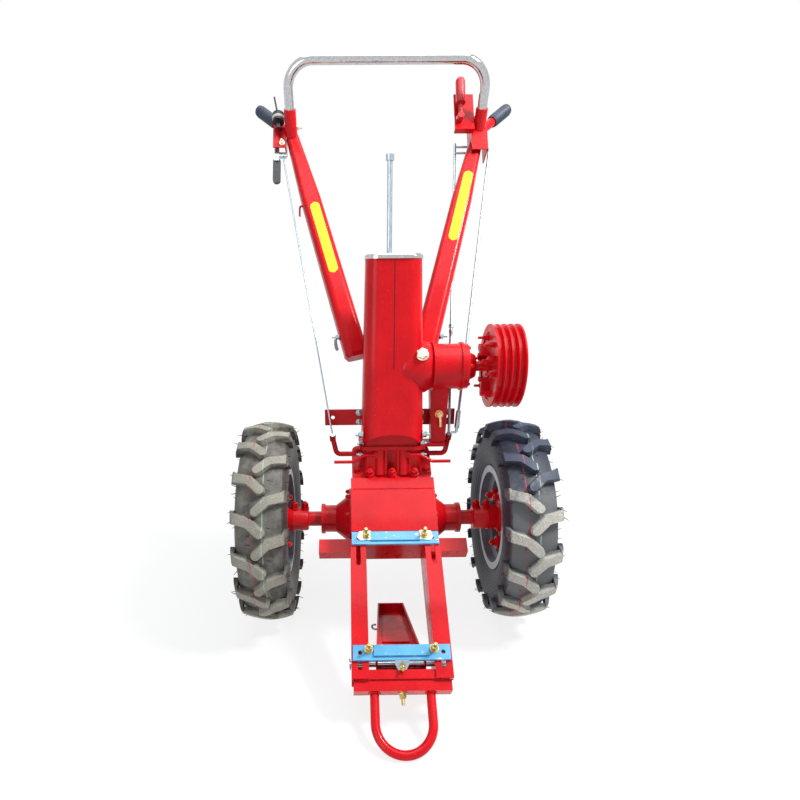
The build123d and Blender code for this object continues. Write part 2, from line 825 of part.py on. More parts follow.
# ---------------------------------------------------------------- engine frame
def rail():
    """One folded rail: a tapered web on the inside and a flange on top and below."""
    inner = rail_half_width - rail_flange
    top = frame_top
    web_outline = [
        (rail_rear_y, top),
        (rail_rear_y, top - rail_rear_depth),
        (rail_front_y, top - rail_front_depth),
        (rail_front_y, top),
    ]
    side = side_plane(inner)
    body = extrude(side * make_face(Polyline(*web_outline, close=True)), rail_flange)
    pocket_outline = [
        (rail_rear_y + 1, top - rail_sheet),
        (rail_rear_y + 1, top - rail_rear_depth + rail_sheet),
        (rail_front_y - 1, top - rail_front_depth + rail_sheet),
        (rail_front_y - 1, top - rail_sheet),
    ]
    side = side_plane(inner + rail_sheet)
    body -= extrude(side * make_face(Polyline(*pocket_outline, close=True)), rail_flange)
    middle = rail_half_width - rail_flange / 2
    slots = [
        (engine_bar_rear_y, rail_rear_slot_length),
        (engine_bar_front_y, rail_front_slot_length),
    ]
    for y, length in slots:
        place = Pos(middle, y + 2 - length / 2, top)
        slot = place * SlotOverall(length, rail_slot_width, rotation=90)
        body -= extrude(slot, rail_sheet, both=True)
    pin_end = (2 * rail_half_width, stand_pivot_y, stand_pivot_z)
    return body - rod((0, stand_pivot_y, stand_pivot_z), pin_end, stand_pin_radius + fit_gap)


def rear_beam():
    """The angle iron across the frame under the rails' rear ends."""
    width = 2 * rear_beam_half_length
    flange = Pos(0, rear_beam_y + rear_beam_flange / 2, rear_beam_top - beam_sheet / 2) * Box(
        width, rear_beam_flange, beam_sheet
    )
    face = Pos(0, rear_beam_y + beam_sheet / 2, rear_beam_top - rear_beam_depth / 2) * Box(
        width, beam_sheet, rear_beam_depth
    )
    return flange + face


def cross_plate(y, depth):
    """An upright plate between the two rails."""
    width = 2 * (rail_half_width - rail_flange)
    return Pos(0, y, frame_top - 4 - depth / 2) * Box(width, beam_sheet, depth)


def front_beam():
    """The front cross member: a channel between the rails and a ledge that carries the hoop."""
    width = 2 * (rail_half_width - rail_flange)
    length = front_beam_y - rail_front_y
    middle = (front_beam_y + rail_front_y) / 2
    height = frame_top - front_beam_drop - front_beam_depth / 2
    channel = Pos(0, middle, height) * Box(width, length, front_beam_depth)
    ledge_width = 2 * (rail_half_width - ledge_inset)
    ledge = Box(ledge_width, ledge_reach, ledge_height)
    ledge -= Pos(0, beam_sheet, -beam_sheet) * Box(2 * ledge_width, ledge_reach, ledge_height)
    return channel + Pos(0, rail_front_y - ledge_reach / 2, hoop_z) * ledge


def nose_hoop():
    """The round bar bent to a U in front of the frame."""
    start = rail_front_y - ledge_reach
    centre_y = hoop_tip_y + hoop_bar_radius + hoop_half_width
    path = (
        Line((-hoop_half_width, start, hoop_z), (-hoop_half_width, centre_y, hoop_z))
        + ThreePointArc(
            (-hoop_half_width, centre_y, hoop_z),
            (0, centre_y - hoop_half_width, hoop_z),
            (hoop_half_width, centre_y, hoop_z),
        )
        + Line((hoop_half_width, centre_y, hoop_z), (hoop_half_width, start, hoop_z))
    )
    section = Plane(origin=(-hoop_half_width, start, hoop_z), z_dir=(0, -1, 0))
    return sweep(section * Circle(hoop_bar_radius), path)


def engine_bar(y):
    """One cross bar that the engine is bolted to: flat ends and a folded raised middle."""
    sheet = engine_bar_sheet
    ends = Pos(0, y, frame_top + sheet / 2) * Box(engine_bar_length, engine_bar_width, sheet)
    lip = Pos(0, y - engine_bar_width / 2 + sheet / 2, frame_top + sheet / 2) * Box(
        engine_bar_length, sheet, sheet
    )
    ridge_length = 2 * (rail_half_width - rail_flange - ridge_inset)
    ridge_place = Pos(0, y + sheet / 2, frame_top + sheet + ridge_rise / 2)
    ridge = ridge_place * Box(ridge_length, ridge_width, ridge_rise)
    bar = ends + lip + ridge
    for side in (-1, 1):
        x = side * (rail_half_width - rail_flange / 2)
        bar -= Pos(x, y, frame_top) * Cylinder(engine_hole_radius, 6 * sheet)
    return bar


def frame_plate():
    """The folded plate from the rails' rear ends up on to the final drive case."""
    width = 2 * rail_half_width - 6
    sheet = beam_sheet
    high = frame_top + plate_rise
    profile = [
        (case_nose_y, frame_top),
        (plate_fold_y, high),
        (plate_rear_y, high),
        (plate_rear_y, high + sheet),
        (plate_fold_y, high + sheet),
        (case_nose_y, frame_top + sheet),
    ]
    side = side_plane(-width / 2)
    plate = extrude(side * make_face(Polyline(*profile, close=True)), width)
    return plate - final_drive_form()


# ---------------------------------------------------------------- front stand
def front_stand():
    """The pressed leg: a tapered tray with a flange all round but at the pin, open in front."""
    half_top, half_foot = stand_top_width / 2, stand_foot_width / 2
    corners = [
        (-half_top, -stand_heel),
        (half_top, -stand_heel),
        (half_foot, stand_length),
        (-half_foot, stand_length),
    ]
    outline = make_face(Polyline(*corners, close=True))
    hollow = offset(outline, -stand_sheet, kind=Kind.INTERSECTION)
    tray = extrude(outline, stand_flange) - extrude(Pos(0, 0, stand_sheet) * hollow, stand_flange)
    tray -= Pos(0, -stand_heel, stand_flange) * Box(
        stand_top_width - 2 * stand_sheet, 2 * stand_heel, 2 * (stand_flange - stand_sheet)
    )
    hung = Pos(0, stand_pivot_y, stand_pivot_z) * Rot(-stand_hang, 0, 0)
    pin = rod((-rail_half_width, 0, 0), (rail_half_width, 0, 0), stand_pin_radius + running_gap)
    return hung * (Pos(0, 0, -stand_flange / 2) * tray - pin)


def stand_pin():
    """The pin through both rails on which the stand turns."""
    reach = rail_half_width + 6
    return rod(
        (-reach, stand_pivot_y, stand_pivot_z),
        (reach, stand_pivot_y, stand_pivot_z),
        stand_pin_radius,
    )


# ---------------------------------------------------------------- handles
arm_foot = Vector(arm_foot_x, arm_foot_y, arm_foot_z)
arm_tip = Vector(arm_tip_x, arm_tip_y, arm_tip_z)


def arm_plane(point):
    """A plane square to the left handle arm."""
    along = (arm_tip - arm_foot).normalized()
    across = Vector(0, 0, 1).cross(along).normalized() * -1
    return Plane(origin=point, x_dir=across, z_dir=along)


def arm_outline(share, width, height, inset=0.0):
    """One section of the arm, at a share of its length from the foot."""
    plane = arm_plane(arm_foot + (arm_tip - arm_foot) * share)
    outline = RectangleRounded(
        width - 2 * inset, height - 2 * inset, height * arm_round - inset
    )
    return plane * outline


def arm_solid(inset=0.0):
    """The arm's form, filled: a loft through its foot, its waist and its tip."""
    sections = [
        (0, arm_foot_width, arm_foot_height),
        (arm_waist_share, arm_waist_width, arm_waist_height),
        (1, arm_tip_width, arm_tip_height),
    ]
    return loft([arm_outline(*section, inset=inset) for section in sections], ruled=True)


def handle_arm():
    """The tapered arm of thin pressed sheet, with a plate at each end."""
    foot_outline = arm_outline(0, arm_foot_width, arm_foot_height)
    foot = extrude(foot_outline, -arm_toe, taper=arm_toe_draft)
    tip = extrude(arm_outline(1, arm_tip_width, arm_tip_height), arm_wall, dir=-arm_way)
    tube = along_handle(Circle(handle_radius + fit_gap))
    return arm_solid() - arm_solid(arm_wall) + foot + (tip - tube)


arm_way = (arm_tip - arm_foot).normalized()
handle_start = arm_tip - arm_way * 40
handle_turn = arm_tip + arm_way * 16
grip_middle = Vector(grip_x, grip_y, grip_z)
grip_way = (grip_middle - handle_turn).normalized()
grip_end = grip_middle + grip_way * (grip_length / 2 - 4)


def along_handle(outline):
    """Sweeps an outline from inside the arm's tip round the bend to the grip."""
    path = FilletPolyline(handle_start, handle_turn, grip_end, radius=handle_bend)
    return sweep(Plane(origin=handle_start, z_dir=arm_way) * outline, path)


def handle_tube():
    """The round tube out of the arm's tip, bent outwards to the grip."""
    return along_handle(Circle(handle_radius) - Circle(handle_radius - handle_wall))


def grip():
    """The rubber grip pushed over the tube's end."""
    start = grip_middle - grip_way * (grip_length / 2)
    end = grip_middle + grip_way * (grip_length / 2)
    return rod(start, end, grip_radius) - rod(
        start, grip_end + grip_way * fit_gap, handle_radius + fit_gap
    )


def arch_point(x, height):
    """A point in the arch's leaning plane, `height` up from its feet."""
    tilt = radians(arch_lean)
    return Vector(x, arch_foot_y + height * sin(tilt), arch_foot_z + height * cos(tilt))


def grab_arch():
    """The bright tube that joins the two handles over the controls."""
    tilt = radians(arch_lean)
    rise = (arch_top_z - arch_foot_z) / cos(tilt)
    half, corner = arch_half_width, arch_corner
    cut = corner * (1 - sin(radians(45)))
    points = [
        arch_point(-half, 0),
        arch_point(-half, rise - corner),
        arch_point(-half + cut, rise - cut),
        arch_point(-half + corner, rise),
        arch_point(half - corner, rise),
        arch_point(half - cut, rise - cut),
        arch_point(half, rise - corner),
        arch_point(half, 0),
    ]
    path = (
        Line(points[0], points[1])
        + ThreePointArc(points[1], points[2], points[3])
        + Line(points[3], points[4])
        + ThreePointArc(points[4], points[5], points[6])
        + Line(points[6], points[7])
    )
    section = Plane(origin=points[0], z_dir=points[1] - points[0])
    ring = Circle(arch_radius) - Circle(arch_radius - arch_wall)
    return sweep(section * ring, path)


def arch_socket_form():
    """The socket's outer form: a short upright tube over the arm's tip, filled."""
    low, high = arch_point(arch_half_width, -20), arch_point(arch_half_width, socket_length)
    return rod(low, high, arch_radius + socket_wall)


def arch_socket():
    """The clamp socket on the arm's tip that holds the arch's foot."""
    high = arch_point(arch_half_width, socket_length)
    bore = rod(arch_point(arch_half_width, 0), high, arch_radius + fit_gap)
    return arch_socket_form() - bore - arm_solid() - along_handle(Circle(handle_radius))


# ---------------------------------------------------------------- controls
def steering_arm():
    """The bent arm out of the neck's side, with an eye for its rod at the end."""
    side = column_plane(steering_side_up, column_foot_depth * 0.65).origin
    start = Vector(column_foot_width / 2 - neck_round, side.Y, side.Z)
    knee = Vector(steering_end_x - 12, side.Y, side.Z)
    end = Vector(steering_end_x, steering_end_y, steering_end_z)
    path = FilletPolyline(start, knee, end, radius=16)
    bar = sweep(Plane(origin=start, z_dir=(1, 0, 0)) * Circle(steering_bar_radius), path)
    eye = Pos(*end) * Cylinder(rod_end_radius, steering_eye_height)
    return bar + eye - final_drive_form()


def shift_rod():
    """The cranked rod out of the neck's slot, with its bare end beside the final drive."""
    inner = column_plane(-neck_flange_drop - 26, neck_setback - shift_rod_radius * 2).origin
    outer = column_plane(-neck_flange_drop - 46, neck_setback - shift_rod_radius * 3).origin
    points = [
        (slot_half_width + pillar_x, inner.Y, inner.Z),
        (slot_half_width + pillar_x + 34, inner.Y, inner.Z),
        (slot_half_width + pillar_x + 72, outer.Y, outer.Z),
        (shift_rod_x, outer.Y, outer.Z),
    ]
    path = FilletPolyline(*points, radius=12)
    bar = sweep(Plane(origin=points[0], z_dir=(1, 0, 0)) * Circle(shift_rod_radius), path)
    foot = Vector(points[0]) + column_back * 24
    return bar + rod(points[0], foot, shift_rod_radius + 4) - final_drive_form()


def tip_plane():
    """Across, along and above: the frame of both arms' tips."""
    above = Vector(1, 0, 0).cross(Vector(0, arm_way.Y, arm_way.Z))
    return Plane(origin=(0, arm_tip_y, arm_tip_z), x_dir=(1, 0, 0), z_dir=above)


def by_the_tip(x, along, above):
    """A point across, along and above the arms' tips."""
    return tip_plane().from_local_coords(Vector(x, along, above))


def lever_bracket():
    """The sheet saddle over the left arm's tip, with the plate that carries the clutch lever."""
    sheet = lever_sheet
    saddle = Box(saddle_width, saddle_length, saddle_height)
    saddle -= Pos(0, 0, -sheet) * Box(saddle_width - 2 * sheet, saddle_length, saddle_height)
    saddle = Pos(arm_tip_x, saddle_along, 0) * saddle
    edge = arm_tip_x - saddle_width / 2
    rise = lever_plate_rise - saddle_height / 2 + sheet
    upright = (Align.CENTER, Align.CENTER, Align.MIN)
    step = Box(sheet, lever_step_length, rise, align=upright)
    step_along = lever_plate_along - (lever_plate_length - lever_step_length) / 2 + sheet
    step = Pos(edge + sheet / 2, step_along, saddle_height / 2 - sheet) * step
    plate = Box(lever_plate_width, lever_plate_length, sheet)
    plate = Pos(lever_plate_x, lever_plate_along, lever_plate_rise - sheet / 2) * plate
    hanging = (Align.CENTER, Align.MIN, Align.MAX)
    lip = Box(lever_plate_width, sheet, lever_lip, align=hanging)
    front = lever_plate_along - lever_plate_length / 2
    lip = Pos(lever_plate_x, front, lever_plate_rise) * lip
    whole = tip_plane() * (saddle + step + plate + lip)
    tube = along_handle(Circle(handle_radius + fit_gap))
    return whole - arm_solid() - tube - arch_socket_form()


def clutch_lever():
    """The clutch lever on its plate: a boss, a round bar and a red knob with a domed end."""
    foot = by_the_tip(knob_x, lever_pivot_along, lever_plate_rise)
    boss_top = by_the_tip(knob_x, lever_pivot_along, lever_plate_rise + lever_boss_rise)
    bar_start = foot + (boss_top - foot) * 0.7
    knob_along = lever_pivot_along + lever_bar_along
    knob_foot = by_the_tip(knob_x, knob_along, lever_plate_rise + lever_bar_rise)
    knob_end = knob_foot + (knob_foot - bar_start).normalized() * (knob_length - knob_radius)
    lever = rod(foot, boss_top, lever_boss_radius)
    lever += rod(bar_start, knob_foot, lever_bar_radius)
    lever += rod(knob_foot, knob_end, knob_radius)
    return lever + Pos(*knob_end) * Sphere(knob_radius)


rod_end_z = steering_end_z + steering_eye_height / 2 + rod_end_height / 2


def rod_to_eye(side, top, radius):
    """A straight rod or cable from `top` down to the ring that lies on a steering arm's eye."""
    low = Vector(side * steering_end_x, steering_end_y, rod_end_z)
    start = low + (top - low).normalized() * rod_end_radius / 2
    return rod(start, top, radius) + Pos(*low) * Cylinder(rod_end_radius - 2, rod_end_height)


def clutch_rod():
    """The long rod from the clutch lever, held by two pins on the saddle's side."""
    top = by_the_tip(clutch_rod_x, 0, clutch_rod_top)
    bar = rod_to_eye(1, top, rod_radius)
    way = Vector(0, arm_way.Y, arm_way.Z).normalized()
    reach = Vector(arm_tip_x - saddle_width / 2 - clutch_rod_x - fit_gap, 0, 0)
    for along in (12, 36):
        pin_start = top - way * along
        bar += rod(pin_start, pin_start + reach, rod_radius - 0.5)
    return bar


def brake_rod():
    """The rod from the saddle's outer side, with a turnbuckle above the steering arm."""
    top = by_the_tip(brake_rod_x, -34, -10)
    low = Vector(steering_end_x + 24, steering_end_y + 6, rod_end_z + 2)
    way = (top - low).normalized()
    bar = rod(low, top, rod_radius) + rod(low + way * 14, low + way * 70, rod_radius + 3.5)
    saddle_side = arm_tip_x + saddle_width / 2 + fit_gap
    bar += rod(top, Vector(saddle_side, top.Y, top.Z), rod_radius - 0.5)
    ring_side = steering_end_x + rod_end_radius - 2 + fit_gap
    return bar + rod(low, Vector(ring_side, low.Y, low.Z), rod_radius - 0.5)


def hand_lever_clevis():
    """The bright clevis under the right arm that the hand lever and its cable meet in."""
    edge = -arm_tip_x - arm_tip_width / 2
    fork = Pos(hand_lever_x, hand_lever_along + 12, -10) * Box(16, 50, 18)
    arm = Pos(edge, hand_lever_along + 12, -10) * Box(
        abs(hand_lever_x - edge), 14, 14, align=(Align.MAX, Align.CENTER, Align.CENTER)
    )
    return tip_plane() * (fork + arm) - other_side(arm_solid())


def steering_cable():
    """The taut cable from the right hand lever down to the right steering arm."""
    top = by_the_tip(hand_lever_x + 20, hand_lever_along + 12, -10)
    return rod_to_eye(-1, top, cable_radius) + hand_lever_clevis()


def hand_lever():
    """The coated oval paddle of the steering hand lever, under the right grip."""
    middle = hand_lever_along - hand_lever_length / 2
    oval = SlotOverall(hand_lever_length, hand_lever_width, rotation=90)
    paddle = extrude(Pos(hand_lever_x, middle, -14) * oval, 9)
    return tip_plane() * paddle - hand_lever_clevis()


def throttle_bracket():
    """The folded bracket of the throttle, on the right arm's outer side."""
    width, length = throttle_bracket_width, throttle_bracket_length
    edge = -arm_tip_x - arm_tip_width / 2
    top = Box(width, length, lever_sheet, align=(Align.MAX, Align.CENTER, Align.MIN))
    side = Box(lever_sheet, length, width, align=(Align.MAX, Align.CENTER, Align.MAX))
    tube = along_handle(Circle(handle_radius + fit_gap))
    whole = tip_plane() * Pos(edge, -8, throttle_bracket_rise) * (top + side)
    return whole - other_side(arm_solid() + tube + arch_socket_form())


def throttle():
    """The throttle's round friction knob, on a post on its bracket, with its pointer."""
    head = throttle_head
    knob = Pos(throttle_x, throttle_along, throttle_rise) * Rot(-90, 0, 0)
    knob *= Cylinder(throttle_radius, throttle_length)
    foot = throttle_bracket_rise + lever_sheet
    upright = (Align.CENTER, Align.CENTER, Align.MIN)
    post = Cylinder(throttle_post_radius, throttle_rise - foot, align=upright)
    post = Pos(throttle_x, throttle_post_along, foot) * post
    post += Pos(throttle_x, throttle_post_along, throttle_rise) * Box(head, 2.5 * head, head)
    pointer_start = by_the_tip(throttle_x, throttle_along, throttle_rise)
    tip_along = throttle_along + throttle_pointer_reach
    pointer_end = by_the_tip(throttle_x - 14, tip_along, throttle_rise + 10)
    pointer = rod(pointer_start, pointer_end, throttle_pointer_radius)
    return tip_plane() * (knob + post) + pointer


# ---------------------------------------------------------------- the set
pieces = {
    "tyre_left": wheel_place(tyre()),
    "rim_left": wheel_place(rim()),
    "wheel_disc_left": wheel_place(wheel_disc()),
    "hub_left": wheel_place(hub()),
    "axle_shaft_left": Pos(0, 0, axle_z) * axle_shaft(),
    "axle_tube_left": axle_tube(),
    "final_drive_case": final_drive_case(),
    "column": column_shell(),
    "column_top_plate": column_top_plate(),
    "gear_lever": gear_lever(),
    "clutch_case": clutch_case(),
    "clutch_pulley": clutch_pulley(),
    "clutch_fingers": clutch_fingers(),
    "rail_left": rail(),
    "rear_beam": rear_beam(),
    "front_beam": front_beam(),
    "nose_hoop": nose_hoop(),
    "engine_bar_rear": engine_bar(engine_bar_rear_y),
    "engine_bar_front": engine_bar(engine_bar_front_y),
    "frame_plate": frame_plate(),
    "frame_back_plate": cross_plate(rail_rear_y - beam_sheet / 2, rail_rear_depth - rail_sheet),
    "front_stand": front_stand(),
    "stand_pin": stand_pin(),
    "rear_hitch": rear_hitch(),
    "side_bar": side_bar(),
    "steering_arms": steering_arm() + other_side(steering_arm()),
    "shift_rods": shift_rod() + other_side(shift_rod()),
    "lever_bracket": lever_bracket(),
    "clutch_lever": clutch_lever(),
    "control_rods": clutch_rod() + brake_rod(),
    "steering_cable": steering_cable(),
    "hand_lever": hand_lever(),
    "throttle_bracket": throttle_bracket(),
    "throttle": throttle(),
    "handle_seat": handle_seat(),
    "handle_arm_left": handle_arm(),
    "handle_tube_left": handle_tube(),
    "grip_left": grip(),
    "arch_socket_left": arch_socket(),
    "grab_arch": grab_arch(),
}
for name in [name for name in pieces if name.endswith("_left")]:
    pieces[name.replace("_left", "_right")] = other_side(pieces[name])

parked = Pos(0, 0, axle_z) * Rot(nose_down, 0, 0) * Pos(0, 0, -axle_z)

pieces = {name: parked * piece for name, piece in pieces.items()}
boxes = [piece.bounding_box() for piece in pieces.values()]
nose = min(box.min.Y for box in boxes)
tail = max(box.max.Y for box in boxes)
lowest = min(box.min.Z for box in boxes)
axle_y = -(nose + tail) / 2
os.makedirs("parts", exist_ok=True)
for name, piece in pieces.items():
    export_step(Pos(0, axle_y, 0) * piece, f"parts/{name}.step")
print("nose down by", round(nose_down, 3), "degrees, axle at y =", round(axle_y, 3))
print("from y", round(nose, 2), "to", round(tail, 2), "lowest point", round(lowest, 3))
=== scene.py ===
# %% [markdown]
# # A walk-behind tractor, dressed for the studio
#
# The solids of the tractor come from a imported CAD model. This lesson gives every solid the
# finish of the real one, and adds the small things that a drawing office leaves out: bolts,
# welds, labels, split pins, the hairs on new tyres. The CAD model never moves. Everything new is
# measured from it or placed on it.

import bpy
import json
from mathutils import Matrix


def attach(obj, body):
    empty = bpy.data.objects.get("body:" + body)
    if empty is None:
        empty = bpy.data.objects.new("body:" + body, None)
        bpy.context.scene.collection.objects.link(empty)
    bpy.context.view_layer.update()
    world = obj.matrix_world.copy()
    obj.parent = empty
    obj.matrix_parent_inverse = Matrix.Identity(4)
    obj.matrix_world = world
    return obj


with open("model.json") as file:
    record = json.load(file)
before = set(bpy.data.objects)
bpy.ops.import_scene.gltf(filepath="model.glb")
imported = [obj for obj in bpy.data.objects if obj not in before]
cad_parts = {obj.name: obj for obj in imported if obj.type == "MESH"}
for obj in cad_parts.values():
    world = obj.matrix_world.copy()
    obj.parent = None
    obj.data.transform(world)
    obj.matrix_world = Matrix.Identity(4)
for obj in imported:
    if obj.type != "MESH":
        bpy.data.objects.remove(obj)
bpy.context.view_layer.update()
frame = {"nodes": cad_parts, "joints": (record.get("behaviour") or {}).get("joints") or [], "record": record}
print("nodes in the frame:", len(frame["nodes"]))

# %% [markdown]
# Blender brings its own Python modules: bpy holds the scene, bmesh edits a mesh and mathutils
# has vectors, matrices and search trees. Blender counts in metres, and drawings of machines in
# millimetres, so one number turns the second into the first.

# %% The modules and the unit
import json
import random
from math import acos, cos, pi, radians, sin

import bmesh
import bpy
from mathutils import Matrix, Vector
from mathutils.bvhtree import BVHTree

MM = 0.001
print("one metre is", round(1 / MM), "mm")

# %% [markdown]
# The tractor has no engine, so it rests nose down on its hoop. It is far easier to think about
# it with the engine frame level, as it was drawn: forward is -Y, and up is +Z. The hitch and
# engine bolts know how far the nose is down, because their axis was upright on the level
# tractor. From that axis and the wheel axle comes one matrix, `machine`, which turns level
# places into real ones. A second one, `column`, leans back with the gear column.

# %% The level machine and its leaning column
mounts = {mount["name"]: mount for mount in frame["record"]["mounts"]}
joints = {joint["name"]: joint for joint in frame["joints"]}
upright = Vector(mounts["engine_bolt_rear_left"]["axis"])
nose_down = acos(upright.z)
axle = Vector(joints["wheel_left_spin"]["pos_m"])
axle.x = 0
machine = (
    Matrix.Translation(axle)
    @ Matrix.Rotation(nose_down, 4, "X")
    @ Matrix.Translation((0, 0, -axle.z))
)
COLUMN_LEAN = radians(39.4)
COLUMN_FOOT = Vector((0, 0.105, 0.590))
column = machine @ Matrix.Translation(COLUMN_FOOT) @ Matrix.Rotation(-COLUMN_LEAN, 4, "X")


def box_in(place, node):
    """The lowest and highest corners of a CAD node, measured along the axes of `place`."""
    inverse = place.inverted()
    points = [inverse @ vertex.co for vertex in frame["nodes"][node].data.vertices]
    low = Vector([min(point[i] for point in points) for i in range(3)])
    high = Vector([max(point[i] for point in points) for i in range(3)])
    return low, high


def box_mm(node, place=machine):
    """The same two corners in millimetres, on the level machine unless told otherwise."""
    low, high = box_in(place, node)
    return low / MM, high / MM


print("nose down by", round(nose_down / pi * 180, 2), "degrees")
print("column's far corner:", [round(value) for value in box_mm("column", column)[1]], "mm")

# %% [markdown]
# ## Finishes
#
# A finish is a node material. `Paint` below is a small helper that holds one material's node
# tree, so that each finish can be written in a few lines: what colours it mixes, how rough it
# is and what its surface feels like. Every pattern reads Object coordinates. All objects sit at
# the origin, so one millimetre in the shader is one millimetre on the tractor.

# %% A helper for materials
NOISE_SPAN = (0.3, 0.7)


class Paint:
    """One material's node tree, with the few nodes that every finish needs."""

    def __init__(self, name):
        self.material = bpy.data.materials.new(name)
        self.material.use_nodes = True
        self.nodes = self.material.node_tree.nodes
        self.links = self.material.node_tree.links
        self.nodes.clear()
        self.shader = self.nodes.new("ShaderNodeBsdfPrincipled")
        output = self.nodes.new("ShaderNodeOutputMaterial")
        self.links.new(self.shader.outputs[0], output.inputs[0])
        self.place = self.nodes.new("ShaderNodeTexCoord").outputs["Object"]

    def set(self, **values):
        """Sets the shader's own sockets, with spaces for underscores."""
        for name, value in values.items():
            self.shader.inputs[name.replace("_", " ")].default_value = value
        return self

    def noise(self, scale, detail=3.0, roughness=0.5, stretch=None):
        """A noise value over the surface."""
        node = self.nodes.new("ShaderNodeTexNoise")
        node.inputs["Scale"].default_value = scale
        node.inputs["Detail"].default_value = detail
        node.inputs["Roughness"].default_value = roughness
        place = self.place
        if stretch:
            mapping = self.nodes.new("ShaderNodeMapping")
            mapping.inputs["Scale"].default_value = stretch
            self.links.new(place, mapping.inputs[0])
            place = mapping.outputs[0]
        self.links.new(place, node.inputs["Vector"])
        return node.outputs["Fac"]

    def shades(self, value, dark, light):
        """A colour that goes from dark to light as a noise goes from low to high."""
        node = self.nodes.new("ShaderNodeValToRGB")
        stops = zip(node.color_ramp.elements, NOISE_SPAN, (dark, light))
        for element, position, colour in stops:
            element.position = position
            element.color = (*colour, 1)
        self.links.new(value, node.inputs[0])
        return node.outputs["Color"]

    def span(self, value, low, high, to_low=0.0, to_high=1.0):
        """Maps a value from one span to another, and clamps it."""
        node = self.nodes.new("ShaderNodeMapRange")
        for index, number in enumerate((low, high, to_low, to_high), 1):
            node.inputs[index].default_value = number
        self.links.new(value, node.inputs[0])
        return node.outputs[0]

    def math(self, operation, first, second=None):
        """A math node on values or numbers."""
        node = self.nodes.new("ShaderNodeMath")
        node.operation = operation
        for socket, value in zip(node.inputs, (first, second)):
            if isinstance(value, (int, float)):
                socket.default_value = value
            elif value is not None:
                self.links.new(value, socket)
        return node.outputs[0]

    def times(self, first, second):
        """Two values multiplied."""
        return self.math("MULTIPLY", first, second)

    def mix(self, factor, first, second):
        """Mixes two colours, each a socket or a plain colour."""
        node = self.nodes.new("ShaderNodeMix")
        node.data_type = "RGBA"
        self.links.new(factor, node.inputs[0])
        for socket, value in ((node.inputs[6], first), (node.inputs[7], second)):
            if isinstance(value, tuple):
                socket.default_value = (*value, 1)
            else:
                self.links.new(value, socket)
        return node.outputs[2]

    def colour(self, socket):
        """Gives the surface its colour."""
        self.links.new(socket, self.shader.inputs["Base Color"])
        return self

    def rough(self, scale, to_low, to_high, span=NOISE_SPAN):
        """Lets a noise vary the roughness from one value to another."""
        value = self.span(self.noise(scale), *span, to_low, to_high)
        self.links.new(value, self.shader.inputs["Roughness"])
        return self

    def feel(self, *layers, edge=0.0):
        """Bumps from (height, strength, distance) layers, over edges softened by `edge`."""
        bevel = self.nodes.new("ShaderNodeBevel")
        bevel.samples = 4
        bevel.inputs["Radius"].default_value = edge
        normal = bevel.outputs[0]
        for height, strength, distance in layers:
            bump = self.nodes.new("ShaderNodeBump")
            bump.inputs["Strength"].default_value = strength
            bump.inputs["Distance"].default_value = distance
            self.links.new(height, bump.inputs["Height"])
            self.links.new(normal, bump.inputs["Normal"])
            normal = bump.outputs[0]
        self.links.new(normal, self.shader.inputs["Normal"])
        return self


print("a Paint holds:", [name for name in dir(Paint) if not name.startswith("_")])

# %% [markdown]
# The tractor is sprayed red all over, on two kinds of ground. Folded sheet gives a smooth coat
# with a faint orange-peel. Sand castings keep their grain under the paint. Both get a thin
# clear coat for the gloss of fresh enamel, and a slow noise that makes the colour deeper here
# and lighter there. Pale specks stand in for dust.

# %% Red enamel on sheet and on castings
DEEP_RED, LIGHT_RED = (0.52, 0.002, 0.007), (0.68, 0.004, 0.010)
RED_DUST = (0.80, 0.45, 0.42)


def red_enamel(name, grain, grain_depth, roughness, deep=DEEP_RED, light=LIGHT_RED):
    """Red paint over a ground whose grain has a scale and a depth in metres."""
    paint = Paint(name)
    red = paint.shades(paint.noise(9, 2), deep, light)
    specks = paint.span(paint.noise(520, 1), 0.73, 0.78, 0.0, 0.35)
    paint.colour(paint.mix(specks, red, RED_DUST))
    paint.rough(38, roughness - 0.07, roughness + 0.09)
    paint.set(Coat_Weight=0.16, Coat_Roughness=0.07, Specular_IOR_Level=0.14)
    peel = paint.noise(300, 2)
    ground = paint.noise(grain, 4, 0.6)
    paint.feel((ground, 0.6, grain_depth), (peel, 0.15, 0.0002), edge=0.0014)
    return paint.material


sheet_red = red_enamel("sheet_red", 14, 0.0006, 0.30)
casting_red = red_enamel("casting_red", 120, 0.0011, 0.36)
print("red finishes:", sheet_red.name, casting_red.name)

# %% [markdown]
# The two cross bars that carry the engine are light blue. Their paint is thin, and it is
# scraped where nuts and washers turned on it, so the mask for the pale scrapes sits in a noise
# that is cut off sharply.

# %% Light blue paint
DEEP_BLUE, LIGHT_BLUE, SCRAPED = (0.055, 0.33, 0.62), (0.11, 0.43, 0.72), (0.70, 0.78, 0.82)


def bar_blue():
    """Light blue paint with scrapes."""
    paint = Paint("bar_blue")
    blue = paint.shades(paint.noise(12, 2), DEEP_BLUE, LIGHT_BLUE)
    scrape = paint.span(paint.noise(34, 5, 0.65, (1, 4, 1)), 0.62, 0.66)
    paint.colour(paint.mix(scrape, blue, SCRAPED))
    paint.rough(60, 0.28, 0.45)
    paint.set(Coat_Weight=0.35, Coat_Roughness=0.15)
    return paint.feel((paint.noise(90, 4), 0.4, 0.0006), edge=0.0012).material


blue_paint = bar_blue()
print("blue finish:", blue_paint.name)

# %% [markdown]
# Metals come next. Chrome is almost a mirror. Zinc is brushed and a little blue, yellow zinc is
# warm, and bare steel is darker. They share one recipe: a metallic base, a noise for the marks
# of drawing and plating, stretched upwards on zinc, and a roughness that varies slowly.

